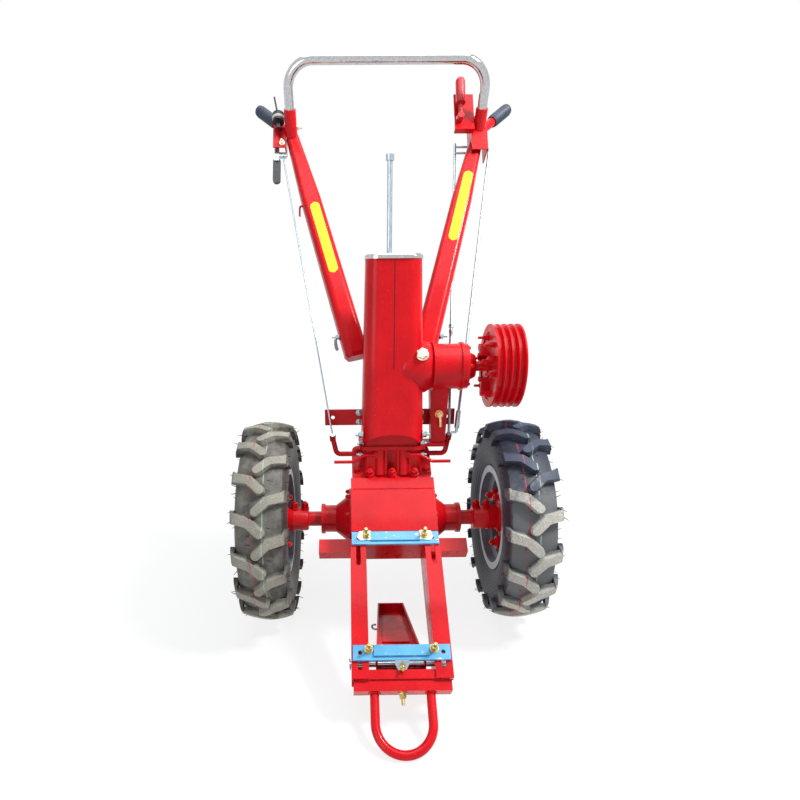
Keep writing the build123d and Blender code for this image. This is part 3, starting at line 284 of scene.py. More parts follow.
# %% Plated metals
def plated(name, dark, light, roughness, drawn=(1, 1, 1), depth=0.0002):
    """Metal between two colours, with marks that are `depth` metres deep."""
    paint = Paint(name)
    marks = paint.noise(160, 4, 0.6, drawn)
    paint.colour(paint.shades(marks, dark, light))
    paint.rough(50, roughness * 0.7, roughness * 1.4, span=(0.25, 0.75))
    paint.set(Metallic=1.0)
    return paint.feel((marks, 0.3, depth), edge=0.0006).material


chrome = plated("chrome_plating", (0.40, 0.41, 0.43), (0.60, 0.60, 0.61), 0.07, depth=0.00004)
zinc = plated("zinc_plating", (0.32, 0.39, 0.44), (0.50, 0.58, 0.63), 0.30, (1, 1, 0.1))
yellow_zinc = plated("yellow_zinc", (0.40, 0.29, 0.09), (0.66, 0.54, 0.24), 0.30)
dark_steel = plated("dark_steel", (0.14, 0.15, 0.17), (0.28, 0.29, 0.31), 0.42)
print("metals:", [metal.name for metal in (chrome, zinc, yellow_zinc, dark_steel)])

# %% [markdown]
# The rims are sprayed blue grey, and the pressed discs a darker one. Both have dust on them. A
# noise between two shades keeps the paint from looking flat, and a second one, cut to its
# highest values, is the dust.

# %% Wheel paints
WHEEL_DUST = (0.42, 0.40, 0.37)


def wheel_paint(name, dark, light, roughness):
    """Grey paint between two shades, with dust."""
    paint = Paint(name)
    coat = paint.shades(paint.noise(18, 4), dark, light)
    dust = paint.span(paint.noise(70, 5, 0.7), 0.54, 0.82, 0.0, 0.35)
    paint.colour(paint.mix(dust, coat, WHEEL_DUST))
    paint.rough(45, roughness - 0.06, roughness + 0.12)
    paint.set(Coat_Weight=0.2, Coat_Roughness=0.2)
    return paint.feel((paint.noise(130, 3), 0.35, 0.0005), edge=0.001).material


rim_grey = wheel_paint("rim_grey", (0.14, 0.185, 0.23), (0.23, 0.295, 0.35), 0.30)
disc_grey = wheel_paint("disc_grey", (0.030, 0.043, 0.066), (0.062, 0.080, 0.108), 0.42)
print("wheel paints:", rim_grey.name, disc_grey.name)

# %% [markdown]
# The tyres have the most to tell. New rubber is nearly black, but the tops of the lugs carry a
# dry bloom, and the bottoms of the grooves collect dust. The shader finds them by the distance
# from the axle, worked out from Object coordinates. Two thin paint lines round each tread are
# narrow bands in X, and fine ribs round the side walls are waves of the same distance. One tyre
# is dusty all over, and its colours are painted pale as if in sunlight. The other has painted
# shade on top, bluish dark rubber, and painted sunlight lower down, which makes it pale there.
# So each tyre gets its own colours.

# %% Tyre rubber
tyre_low, tyre_high = box_in(machine, "tyre_left")
TYRE_RADIUS = (tyre_high.z - tyre_low.z) / 2
# Painted sunlight: the pale colours that grooves and lug tops take on the lower part of a tyre.
SUNLIT_GROOVE, SUNLIT_LUG = (0.125, 0.130, 0.135), (0.66, 0.63, 0.54)
PAINT_LINES = ((-0.022, (0.42, 0.03, 0.05)), (0.012, (0.30, 0.44, 0.36)))
LINE_OUTER, LINE_INNER = 0.0018, 0.0011
RIB_PITCH = 0.011


def tyre_rubber(name, side, base, groove_dust_and_light, lug_dust, dry=0.0):
    """Rubber from its bare colour, the dust in its grooves and the bloom on its lugs; the colours passed in
    also carry painted shade and painted sunlight. The last argument is how strongly painted sunlight makes
    the lower part pale, from the ground to well above the axle."""
    paint = Paint(name)
    moved = paint.nodes.new("ShaderNodeMapping")
    moved.inputs["Location"].default_value = -Vector(joints[f"wheel_{side}_spin"]["pos_m"])
    paint.links.new(paint.place, moved.inputs[0])
    split = paint.nodes.new("ShaderNodeSeparateXYZ")
    paint.links.new(moved.outputs[0], split.inputs[0])
    across, fore, rise = split.outputs
    squares = paint.math("ADD", paint.math("POWER", fore, 2), paint.math("POWER", rise, 2))
    radius = paint.math("SQRT", squares)
    fine, coarse = paint.noise(420, 4, 0.7), paint.noise(26, 4, 0.6)
    lug_top = paint.span(radius, TYRE_RADIUS - 0.020, TYRE_RADIUS - 0.012)
    bloom = paint.times(lug_top, paint.span(fine, 0.40, 0.62, 0.25, 1.0))
    groove = paint.times(paint.span(radius, 0.27, 0.29), paint.span(coarse, 0.3, 0.7))
    bright = tuple(2.0 * value for value in base)
    dust_and_light_colour = paint.shades(coarse, base, bright)
    dust_and_light_colour = paint.mix(paint.times(groove, 0.8), dust_and_light_colour, groove_dust_and_light)
    dust_and_light_colour = paint.mix(paint.times(bloom, 0.85), dust_and_light_colour, lug_dust)
    # Painted sunlight: below a wavy line above the axle, grooves and lug tops turn pale.
    uneven_rise = paint.math("ADD", rise, paint.times(coarse, 0.16))
    low = paint.span(uneven_rise, 0.31, 0.25, 0.0, dry)
    tread = paint.span(radius, 0.272, 0.286)
    dust_and_light_colour = paint.mix(paint.times(low, tread), dust_and_light_colour, SUNLIT_GROOVE)
    dust_and_light_colour = paint.mix(paint.times(low, bloom), dust_and_light_colour, SUNLIT_LUG)
    for place, line_colour in PAINT_LINES:
        offset = paint.math("ABSOLUTE", paint.math("SUBTRACT", across, place))
        line = paint.span(offset, LINE_OUTER, LINE_INNER)
        worn = paint.times(paint.span(coarse, 0.42, 0.56), paint.span(radius, 0.29, 0.294))
        dust_and_light_colour = paint.mix(paint.times(line, worn), dust_and_light_colour, line_colour)
    paint.colour(dust_and_light_colour)
    paint.links.new(paint.span(fine, 0.3, 0.7, 0.46, 0.72), paint.shader.inputs["Roughness"])
    paint.set(Specular_IOR_Level=0.45)
    waves = paint.math("SINE", paint.times(radius, 2 * pi / RIB_PITCH))
    ribs = paint.times(waves, paint.span(radius, 0.262, 0.256))
    paint.feel((fine, 0.35, 0.0007), (coarse, 0.3, 0.0012), (ribs, 0.5, 0.0009), edge=0.0022)
    return paint.material


# The first set is painted shade on top, bluish dark rubber, with painted sunlight low down. The second is
# dust, painted paler all over as if in sunlight.
SHADED_TOP_SUNLIT_LOW = dict(base=(0.008, 0.010, 0.018), groove_dust_and_light=(0.016, 0.024, 0.050))
SHADED_TOP_SUNLIT_LOW.update(lug_dust=(0.044, 0.058, 0.105), dry=0.88)
DUSTY_SUNLIT = dict(base=(0.024, 0.023, 0.022), groove_dust_and_light=(0.225, 0.212, 0.178))
DUSTY_SUNLIT.update(lug_dust=(0.400, 0.375, 0.310))
tyre_left = tyre_rubber("tyre_left_rubber", "left", **SHADED_TOP_SUNLIT_LOW)
tyre_right = tyre_rubber("tyre_right_rubber", "right", **DUSTY_SUNLIT)
print("tyre radius:", round(TYRE_RADIUS / MM, 1), "mm")

# %% [markdown]
# ## Camera, light and floor
#
# The camera stands 1.2 m high, in front of the nose, and looks down by 22 degrees. It was
# worked out on the level machine as well, so it goes through the same matrix. The lens is wide,
# because the camera is close: the hoop looks large and the handles far away.

# %% The camera
LENS, SENSOR = 26.1, 36
FRAME_SHIFT = (0.0554, 0.0768)
EYE = (-0.126, -0.936, 2.001)
PAN, TILT = radians(-0.7), radians(34.7)
camera = bpy.data.objects.new("camera", bpy.data.cameras.new("camera"))
bpy.context.scene.collection.objects.link(camera)
camera.data.lens = LENS
camera.data.sensor_width = SENSOR
camera.data.shift_x, camera.data.shift_y = FRAME_SHIFT
aim_of_camera = Matrix.Rotation(PAN, 4, "Z") @ Matrix.Rotation(TILT, 4, "X")
camera.matrix_world = machine @ Matrix.Translation(EYE) @ aim_of_camera
bpy.context.scene.camera = camera
print("camera at", [round(value, 3) for value in camera.matrix_world.translation])

# %% [markdown]
# Outdoor light under a bright sky comes from everywhere, and most from the sun. A pale world
# gives the first and a lamp high on one side the second. A wide soft lamp overhead shows in
# the flat tops, a weak one in front opens the shadows under the frame, and one behind draws
# the edges. The camera, mirrors and glass see a white world.

# %% The world and the lamps
SKY_TINT, SKY_STRENGTH = (0.90, 0.95, 1.0, 1), 0.20
COOL = (0.95, 0.98, 1)
world = bpy.data.worlds.new("studio")
world.use_nodes = True
bpy.context.scene.world = world
sky = world.node_tree.nodes
sky.clear()
wires = world.node_tree.links
rays = sky.new("ShaderNodeLightPath")


def either_ray(first, second):
    """One where either of two values is one."""
    node = sky.new("ShaderNodeMath")
    node.operation = "MAXIMUM"
    wires.new(first, node.inputs[0])
    wires.new(second, node.inputs[1])
    return node.outputs[0]


through = either_ray(rays.outputs["Is Camera Ray"], rays.outputs["Is Transmission Ray"])
seen = either_ray(through, rays.outputs["Is Glossy Ray"])
soft = sky.new("ShaderNodeBackground")
soft.inputs[0].default_value = SKY_TINT
soft.inputs[1].default_value = SKY_STRENGTH
white = sky.new("ShaderNodeBackground")
white.inputs[0].default_value = (1, 1, 1, 1)
choose = sky.new("ShaderNodeMixShader")
out = sky.new("ShaderNodeOutputWorld")
wires.new(seen, choose.inputs[0])
wires.new(soft.outputs[0], choose.inputs[1])
wires.new(white.outputs[0], choose.inputs[2])
wires.new(choose.outputs[0], out.inputs[0])


def lamp(name, place, aim, size, power, colour=(1, 1, 1)):
    """A square area lamp that looks from `place` at `aim`."""
    light = bpy.data.lights.new(name, "AREA")
    light.size = size
    light.energy = power
    light.color = colour
    thing = bpy.data.objects.new(name, light)
    bpy.context.scene.collection.objects.link(thing)
    aimed = (Vector(aim) - Vector(place)).to_track_quat("-Z", "Y")
    thing.matrix_world = Matrix.Translation(place) @ aimed.to_matrix().to_4x4()
    return thing


lamps = [
    lamp("key", (1.9, -0.7, 3.3), (0, 0, 0.5), 0.7, 140),
    lamp("front", (-2.2, -2.8, 1.6), (0, -0.1, 0.6), 1.8, 30, COOL),
    lamp("sky", (0, 0.1, 3.9), (0, 0.1, 0.5), 2.6, 64, COOL),
    lamp("rear", (-0.3, 3.3, 3.0), (0, 0.2, 0.8), 2.4, 22, COOL),
]
bpy.context.scene.view_settings.view_transform = "Standard"
print("lamps:", [light.name for light in lamps])

# %% [markdown]
# The floor is a plain pale sheet. It shines by itself for the camera and in gloss, the more the
# further it is from the tractor. So it reaches white in the open, and its matt part still
# darkens under the tractor.

# %% The floor
FLOOR_HALF, FLOOR_SINK = 9, 0.0006
GLOW_STRENGTH = 1.04
NEAR, FAR, NEAR_GLOW = 0.7, 1.8, 0.80
corners = [(x * FLOOR_HALF, y * FLOOR_HALF, 0) for x, y in ((-1, -1), (1, -1), (1, 1), (-1, 1))]
floor_mesh = bpy.data.meshes.new("floor")
floor_mesh.from_pydata(corners, [], [(0, 1, 2, 3)])
floor = bpy.data.objects.new("floor", floor_mesh)
bpy.context.scene.collection.objects.link(floor)
floor.location.z = -FLOOR_SINK
pale = Paint("floor_pale")
pale.set(Roughness=0.9, Specular_IOR_Level=0.1)
speckle = pale.shades(pale.noise(160, 2), (0.86, 0.86, 0.86), (0.90, 0.90, 0.90))
pale.colour(speckle)
glow = pale.nodes.new("ShaderNodeEmission")
glow.inputs[1].default_value = GLOW_STRENGTH
blend = pale.nodes.new("ShaderNodeMixShader")
path = pale.nodes.new("ShaderNodeLightPath").outputs
shining = pale.math("MAXIMUM", path["Is Camera Ray"], path["Is Transmission Ray"])
shining = pale.math("MAXIMUM", shining, path["Is Glossy Ray"])
apart = pale.nodes.new("ShaderNodeVectorMath")
apart.operation = "LENGTH"
pale.links.new(pale.place, apart.inputs[0])
share = pale.span(apart.outputs["Value"], NEAR, FAR, NEAR_GLOW, 1.0)
pale.links.new(pale.times(shining, share), blend.inputs[0])
pale.links.new(pale.shader.outputs[0], blend.inputs[1])
pale.links.new(glow.outputs[0], blend.inputs[2])
pale.links.new(blend.outputs[0], pale.nodes["Material Output"].inputs[0])
floor_mesh.materials.append(pale.material)
print("floor is", 2 * FLOOR_HALF, "m wide")

# %% [markdown]
# ## Dressing the CAD nodes
#
# The grips are moulded rubber, and the throttle and the two levers are hard plastic. One recipe
# makes them all: two shades close to each other and a fine grain, which is where a mould shows.

# %% Grip rubber and plastics
def moulded(name, dark, light, roughness, grain, depth):
    """Moulded stuff between two shades, with a grain that is `depth` metres deep."""
    paint = Paint(name)
    paint.colour(paint.shades(paint.noise(40, 4), dark, light))
    paint.rough(90, roughness - 0.06, roughness + 0.1)
    return paint.feel((paint.noise(grain, 3), 0.4, depth), edge=0.001).material


DEEP_NAVY, NAVY = (0.012, 0.020, 0.040), (0.030, 0.045, 0.075)
NEAR_BLACK, CHARCOAL = (0.010, 0.011, 0.013), (0.030, 0.030, 0.034)
grip_rubber = moulded("grip_moulding", DEEP_NAVY, NAVY, 0.5, 500, 0.0004)
black_plastic = moulded("black_moulding", NEAR_BLACK, CHARCOAL, 0.38, 300, 0.0002)
red_plastic = moulded("red_moulding", (0.46, 0.006, 0.012), (0.60, 0.010, 0.018), 0.34, 260, 0.0002)
print("moulded:", grip_rubber.name, black_plastic.name, red_plastic.name)

# %% [markdown]
# The record says which finish each node has. Castings, sheet, plating and plastic each have
# their slot there, and one dictionary turns a slot into a material. The two tyres share a slot
# but not their dust and painted light, so they are named one by one.

# %% Give every node its finish
finish_of = {
    "red_paint": sheet_red,
    "red_casting": casting_red,
    "blue_paint": blue_paint,
    "rim_paint": rim_grey,
    "disc_paint": disc_grey,
    "chrome": chrome,
    "zinc_steel": zinc,
    "grip_rubber": grip_rubber,
    "black_plastic": black_plastic,
    "red_plastic": red_plastic,
}
slot_of = {part["node"]: part["material_slot"] for part in frame["record"]["subparts"]}
special = {"tyre_left": tyre_left, "tyre_right": tyre_right}
for name, thing in frame["nodes"].items():
    material = special.get(name) or finish_of[slot_of[name]]
    for place in thing.material_slots:
        place.material = material
print("dressed nodes:", len(slot_of))

# %% [markdown]
# ## Tools for the small pieces
#
# Bolts, welds and the hairs of the tyres all repeat. Geometry Nodes suit such things: a few
# points or a path go in, and a node tree puts the same small form on each of them. The class
# below writes a tree line by line.

# %% A helper for Geometry Nodes trees
SOCKETS = {float: "NodeSocketFloat", int: "NodeSocketInt", str: "NodeSocketMaterial"}
TURN_SEED = 7


class Tree:
    """A Geometry Nodes tree, with named inputs given as their default values."""

    def __init__(self, name, **inputs):
        self.group = bpy.data.node_groups.new(name, "GeometryNodeTree")
        face = self.group.interface
        face.new_socket("Geometry", in_out="INPUT", socket_type="NodeSocketGeometry")
        self.keys = {}
        for label, value in inputs.items():
            socket = face.new_socket(label, in_out="INPUT", socket_type=SOCKETS[type(value)])
            if not isinstance(value, str):
                socket.default_value = value
            self.keys[label] = socket.identifier
        face.new_socket("Geometry", in_out="OUTPUT", socket_type="NodeSocketGeometry")
        self.given = self.group.nodes.new("NodeGroupInput").outputs
        self.last = self.group.nodes.new("NodeGroupOutput")

    def feed(self, socket, value):
        """Links a socket to another one, or sets it to a plain value."""
        if isinstance(value, bpy.types.NodeSocket):
            self.group.links.new(value, socket)
        else:
            socket.default_value = value

    def add(self, kind, links, **settings):
        """Adds a node and gives its first output. `links` are its inputs, by name."""
        node = self.group.nodes.new(kind)
        for label, value in settings.items():
            setattr(node, label, value)
        for label, values in links.items():
            for value in values if isinstance(values, list) else [values]:
                socket = next(s for s in node.inputs if s.name == label and s.enabled)
                self.feed(socket, value)
        return next(socket for socket in node.outputs if socket.enabled)

    def math(self, operation, first, second):
        """A math node on two values."""
        node = self.group.nodes.new("ShaderNodeMath")
        node.operation = operation
        self.feed(node.inputs[0], first)
        self.feed(node.inputs[1], second)
        return node.outputs[0]

    def lift(self, form, height):
        """Moves a form up by a height."""
        shift = self.add("ShaderNodeCombineXYZ", {"Z": height})
        return self.add("GeometryNodeTransform", {"Geometry": form, "Translation": shift})

    def on_points(self, form):
        """Puts a form on every point, with its Z along the point's way and a free turn."""
        named = "GeometryNodeInputNamedAttribute"
        way = self.add(named, {"Name": "way"}, data_type="FLOAT_VECTOR")
        size = self.add(named, {"Name": "size"}, data_type="FLOAT")
        turn = self.add("FunctionNodeAlignRotationToVector", {"Vector": way}, axis="Z")
        limits = {"Min": 0.0, "Max": 2 * pi, "Seed": TURN_SEED}
        angle = self.add("FunctionNodeRandomValue", limits, data_type="FLOAT")
        spin = self.add("FunctionNodeAxisAngleToRotation", {"Axis": (0, 0, 1), "Angle": angle})
        turns = {"Rotation": turn, "Rotate By": spin}
        both = self.add("FunctionNodeRotateRotation", turns, rotation_space="LOCAL")
        copies = {"Points": self.given["Geometry"], "Instance": form, "Rotation": both, "Scale": size}
        return self.add("GeometryNodeInstanceOnPoints", copies)

    def finish(self, geometry):
        """Turns instances into real faces and gives them their material."""
        real = self.add("GeometryNodeRealizeInstances", {"Geometry": geometry})
        links = {"Geometry": real, "Material": self.given["Finish"]}
        self.group.links.new(self.add("GeometryNodeSetMaterial", links), self.last.inputs[0])


print("inputs may be:", sorted(kind.__name__ for kind in SOCKETS))

# %% [markdown]
# A piece is an ordinary mesh with smooth shading that rides on one of the tractor's bodies:
# chassis, clutch, stand or a wheel. `keep` makes a piece of a mesh. `grow` first runs a tree on
# it, once, and keeps only the plain result, so that nothing has to be worked out again later.
# `seats` makes the points that a tree works on.

# %% Keeping and growing pieces
CREASE = 32


def keep(name, mesh, body="chassis", slot="zinc_steel", angle=CREASE):
    """Makes a finished mesh into a piece that rides on a body, creased at `angle` degrees."""
    mesh.shade_smooth()
    mesh.set_sharp_from_angle(angle=radians(angle))
    mesh.name = name
    piece = bpy.data.objects.new(name, mesh)
    bpy.context.scene.collection.objects.link(piece)
    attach(piece, body)
    return piece


def evaluated(thing):
    """The plain mesh of an object as its modifiers or its bevel leave it."""
    depsgraph = bpy.context.evaluated_depsgraph_get()
    return bpy.data.meshes.new_from_object(thing.evaluated_get(depsgraph))


def grow(name, mesh, tree, body="chassis", slot="zinc_steel", **values):
    """Runs a tree once on a mesh, and keeps the result as a plain piece on a body."""
    mesh.materials.append(values["Finish"])
    source = bpy.data.objects.new(name + "_source", mesh)
    bpy.context.scene.collection.objects.link(source)
    growth = source.modifiers.new("growth", "NODES")
    growth.node_group = tree.group
    for label, value in values.items():
        growth[tree.keys[label]] = value
    plain = evaluated(source)
    source.modifiers.remove(growth)
    bpy.data.objects.remove(source)
    return keep(name, plain, body, slot)


def seats(places, frame_of=machine):
    """A mesh of points with a way and a size each, from places in millimetres."""
    mesh = bpy.data.meshes.new("seats")
    mesh.from_pydata([frame_of @ (Vector(place) * MM) for place, _, _ in places], [], [])
    mesh.attributes.new("way", "FLOAT_VECTOR", "POINT")
    mesh.attributes.new("size", "FLOAT", "POINT")
    for index, (_, way, size) in enumerate(places):
        mesh.attributes["way"].data[index].vector = frame_of.to_3x3() @ Vector(way)
        mesh.attributes["size"].data[index].value = size * MM
    return mesh


print("edges sharper than", CREASE, "degrees stay creased")

# %% [markdown]
# One tree makes every bolt and nut. It builds a washer, a head with a bevelled top and a stud
# for a size of one over the flats, and each point scales them. A square head is a hexagon with
# fewer sides, so the number of sides is an input too.

# %% The bolt tree
WASHER_THICK, BEVEL_HIGH = 0.12, 0.09
HALF_OVER_CORNERS = 0.572
bolt_tree = Tree("bolt", Sides=6, Head=0.65, Washer=0.76, Stud=0.3, Finish="material")
given = bolt_tree.given
washer = bolt_tree.add(
    "GeometryNodeMeshCylinder",
    {"Vertices": 28, "Radius": given["Washer"], "Depth": WASHER_THICK},
)


def cone(tree, vertices, top, bottom, depth, **more):
    """A cone or prism of a tree, from its two radii and its height."""
    sizes = {"Vertices": vertices, "Radius Top": top, "Radius Bottom": bottom, "Depth": depth}
    return tree.add("GeometryNodeMeshCone", {**more, **sizes})


corner = HALF_OVER_CORNERS
head = cone(bolt_tree, given["Sides"], corner, corner, given["Head"])
bevel = cone(bolt_tree, 24, 0.38, 0.50, BEVEL_HIGH)
stud = cone(bolt_tree, 18, 0.26, 0.29, given["Stud"])
top = bolt_tree.math("ADD", given["Head"], WASHER_THICK)
forms = [
    bolt_tree.lift(washer, WASHER_THICK / 2),
    bolt_tree.lift(head, WASHER_THICK),
    bolt_tree.lift(bevel, top),
    bolt_tree.lift(stud, top),
]
bolt_form = bolt_tree.add("GeometryNodeJoinGeometry", {"Geometry": forms})
bolt_tree.finish(bolt_tree.on_points(bolt_form))


def bolts(name, finish, places, frame_of=machine, **options):
    """Bolts at (place, way, size over the flats), all in millimetres."""
    inputs = {key: options.pop(key) for key in list(options) if key in bolt_tree.keys}
    return grow(name, seats(places, frame_of), bolt_tree, Finish=finish, **inputs, **options)


print("bolt inputs:", sorted(bolt_tree.keys))

# %% [markdown]
# ## Fasteners of the engine frame
#
# The blue bars are held by a bolt near each end of their raised middle. Their places come from
# the bars' own boxes. The rear bolts stand a little higher, on clip washers.

# %% Bolts on the engine bars
UP, OUT, IN = (0, 0, 1), (1, 0, 0), (-1, 0, 0)
FORE, AFT = (0, -1, 0), (0, 1, 0)
BAR_BOLT_X, BAR_BOLT_BACK = 86, 9
RIDGE, CLIP_THICK = 6, 3
bar_bolts = {}
for end in ("rear", "front"):
    low, high = box_mm(f"engine_bar_{end}")
    middle = (low.y + high.y) / 2 + BAR_BOLT_BACK
    bar_bolts[end] = [(side * BAR_BOLT_X, middle, high.z - RIDGE) for side in (-1, 1)]
rear_bolts = [((x, y, z + CLIP_THICK), UP, 17) for x, y, z in bar_bolts["rear"]]
front_bolts = [(place, UP, 16) for place in bar_bolts["front"]]
bolts("bar_bolts_rear", yellow_zinc, rear_bolts, Head=0.8, Stud=1.3)
bolts("bar_bolts_front", yellow_zinc, front_bolts, Head=1.1, Stud=1.2)
print("rear bar bolts at", [[round(value) for value in place] for place, _, _ in rear_bolts])

# %% [markdown]
# A clip washer is a bent scrap of plate with six corners. `plate` makes any flat piece from its
# outline: it sets two copies of the outline face to face, closes them with walls and softens
# the edges. `at` says where such a piece goes. The left clip is the right one mirrored.

# %% Clip washers
def plate(name, outline, thickness, place, finish, round_edge=0.6, **options):
    """A flat plate with softened edges, cut to an outline in millimetres and put in place."""
    count = len(outline)
    points = [(x, y, z) for z in (0, thickness) for x, y in outline]
    ring = [(i, (i + 1) % count, count + (i + 1) % count, count + i) for i in range(count)]
    faces = [tuple(reversed(range(count))), tuple(range(count, 2 * count))] + ring
    mesh = bpy.data.meshes.new(name)
    mesh.from_pydata(points, [], faces)
    form = bmesh.new()
    form.from_mesh(mesh)
    bmesh.ops.recalc_face_normals(form, faces=form.faces)
    bmesh.ops.bevel(form, geom=form.edges, offset=round_edge, segments=2, affect="EDGES")
    form.to_mesh(mesh)
    form.free()
    mesh.transform(Matrix.Scale(MM, 4))
    mesh.transform(place)
    mesh.materials.append(finish)
    return keep(name, mesh, **options)


def at(x, y, z, tilt=0):
    """The matrix of a place in millimetres on the level machine, tilted by some degrees."""
    turned = Matrix.Rotation(radians(tilt), 4, "X")
    return machine @ Matrix.Translation(Vector((x, y, z)) * MM) @ turned


CLIP = [(-27, -8), (-16, -19), (14, -17), (27, 4), (10, 15), (-20, 12)]
for side, place in zip("rl", bar_bolts["rear"]):
    outline = CLIP if side == "r" else [(-x, y) for x, y in reversed(CLIP)]
    plate(f"clip_washer_{side}", outline, CLIP_THICK, at(*place), zinc)
print("clip washers have", len(CLIP), "corners")

# %% [markdown]
# The front ledge has a bolt for the guard's strap, with a nut of yellow zinc, and a small bent
# clip hangs from the middle of the front bar. The gearbox is held by hexagon bolts under the
# red paint: three on the bosses behind the plate, and one at each corner of the foot flange.

# %% Bolts of the front ledge and the gearbox
ledge_low, ledge_high = box_mm("front_beam")
hoop_low, hoop_high = box_mm("nose_hoop")
hoop_z = (hoop_low.z + hoop_high.z) / 2
bolts("ledge_bolt", yellow_zinc, [((0, ledge_low.y, hoop_z), FORE, 17)], Stud=1.0)
bar_low, bar_high = box_mm("engine_bar_front")
clip_y = bar_low.y - 2
CLIP_FACE = [(-19, 2), (19, 2), (19, -7), (11, -24), (-11, -24), (-19, -7)]
plate("bar_clip", CLIP_FACE, CLIP_THICK, at(0, clip_y, bar_high.z - RIDGE, tilt=38), zinc)
clip_bolt = ((0, clip_y - 12, bar_high.z - 14), (0, -0.62, 0.79), 14)
bolts("bar_clip_bolt", yellow_zinc, [clip_bolt], Stud=0.8)
BOSS_TOP, BOSS_Y, BOSS_PITCH = 488, 67, 70
FOOT_TOP, FOOT_X, FOOT_YS = 476, 110, (88, 160)
boss_bolts = [((BOSS_PITCH * step, BOSS_Y, BOSS_TOP), UP, 19) for step in (-1, 0, 1)]
foot_bolts = [((side * FOOT_X, y, FOOT_TOP), UP, 17) for side in (-1, 1) for y in FOOT_YS]
bolts("gearbox_bolts", casting_red, boss_bolts + foot_bolts, slot="red_casting")
print("gearbox bolts:", len(boss_bolts + foot_bolts))

# %% [markdown]
# Each wheel hub has five nuts outside on the disc, and two square-headed bolts that clamp its
# sleeve on the axle shaft. They ride on the wheels, so that they go round with them. The axle
# covers are held by eight bolts each.

# %% Bolts of the hubs and axle covers
def round_axis(centre, radius, count, first=0.0):
    """Places on a circle about an X axis, at (x, y, z) and a radius in millimetres."""
    angles = [first + 2 * pi * index / count for index in range(count)]
    return [
        (centre[0], centre[1] + radius * cos(angle), centre[2] + radius * sin(angle))
        for angle in angles
    ]


SIDES = (("left", 1), ("right", -1))
NUT_CIRCLE, NUT_PROUD = 68, 7
COVER_CIRCLE, COVER_PROUD = 89, 16
CLAMP_Y, CLAMP_RISE, CLAMP_WAY = 22, 30, (0, 0.60, 0.80)
CLAMP_BACKS = (36, 2)
axle_z = axle.z / MM


def reach(node):
    """How near the middle of the tractor a node begins, and how far out it ends."""
    low, high = box_mm(node)
    return sorted((abs(low.x), abs(high.x)))


for name, side in SIDES:
    sleeve, face = reach(f"hub_{name}")
    centre = ((face + NUT_PROUD) * side, 0, axle_z)
    nuts = [(place, (side, 0, 0), 19) for place in round_axis(centre, NUT_CIRCLE, 5)]
    wheel = dict(body=f"wheel_{name}", slot="red_casting")
    bolts(f"hub_nuts_{name}", dark_steel, nuts, Stud=0.5, body=f"wheel_{name}")
    clamp_xs = [sleeve - back for back in CLAMP_BACKS]
    clamps = [((side * x, CLAMP_Y, axle_z + CLAMP_RISE), CLAMP_WAY, 20) for x in clamp_xs]
    bolts(f"hub_clamps_{name}", casting_red, clamps, Sides=4, Head=0.8, Washer=0.7, **wheel)
    cover = ((reach(f"axle_tube_{name}")[0] + COVER_PROUD) * side, 0, axle_z)
    ring = [(place, (side, 0, 0), 13) for place in round_axis(cover, COVER_CIRCLE, 8, pi / 8)]
    bolts(f"cover_bolts_{name}", casting_red, ring, slot="red_casting", Washer=0.7)
print("hub face at", round(face, 1), "mm, sleeve from", round(sleeve, 1), "mm")

# %% [markdown]
# The belt clutch shows its workings between the drum and the pulley: adjusting bolts stand
# round the pressure plate. Three long studs go right through the pulley and end in nuts on its
# outer side. All of these ride on the clutch. The drum's own bolts stay with the chassis.

# %% Bolts of the clutch
level_axis = machine.inverted() @ Vector(joints["clutch_spin"]["pos_m"]) / MM
CY, CZ = level_axis.y, level_axis.z
pulley_low, pulley_high = box_mm("clutch_pulley")
STUD_CIRCLE, STUD_SINK = 70, 30
ADJUSTER_CIRCLE, ADJUSTER_PROUD = 88, 4
DRUM_BOLT_X, DRUM_CIRCLE = 226, 54
turning = dict(body="clutch", slot="red_casting")
stud_spots = round_axis((pulley_high.x - STUD_SINK, CY, CZ), STUD_CIRCLE, 3, radians(90))
studs = [(place, OUT, 17) for place in stud_spots]
bolts("clutch_studs", casting_red, studs, Head=1.2, Stud=1.0, **turning)
plate_x = pulley_low.x + ADJUSTER_PROUD
adjuster_spots = round_axis((plate_x, CY, CZ), ADJUSTER_CIRCLE, 6, radians(30))
adjusters = [(place, IN, 15) for place in adjuster_spots]
bolts("clutch_adjusters", casting_red, adjusters, Head=0.9, Stud=1.1, **turning)
drum_spots = round_axis((DRUM_BOLT_X, CY, CZ), DRUM_CIRCLE, 4, radians(45))
drum_bolts = [(place, OUT, 12) for place in drum_spots]
bolts("drum_bolts", casting_red, drum_bolts, slot="red_casting")
print("clutch axis at", round(CY), round(CZ), "mm; studs end by", round(pulley_high.x), "mm")

# %% [markdown]
# ## Thin forms that lie on the castings
#
# A label, a mould seam and many bolts sit on the surface under them. A search tree over the
# faces of a CAD node tells where a ray meets it, so `meet` shoots a ray from a place, in a way,
# and says where it lands.

# %% Rays on to a CAD node
END_DEPTH = 0.03


def surface(*nodes):
    """A search tree over the faces of some CAD nodes."""
    points, faces = [], []
    for node in nodes:
        mesh = frame["nodes"][node].data
        faces += [[len(points) + index for index in face.vertices] for face in mesh.polygons]
        points += [vertex.co.copy() for vertex in mesh.vertices]
    return BVHTree.FromPolygons(points, faces)


def meet(skin, start, way, frame_of=machine):
    """Where a ray meets a surface, in the millimetres of a frame, or None if it misses."""
    far_start = frame_of @ (Vector(start) * MM)
    place, _, _, _ = skin.ray_cast(far_start, frame_of.to_3x3() @ Vector(way))
    return frame_of.inverted() @ place / MM if place else None


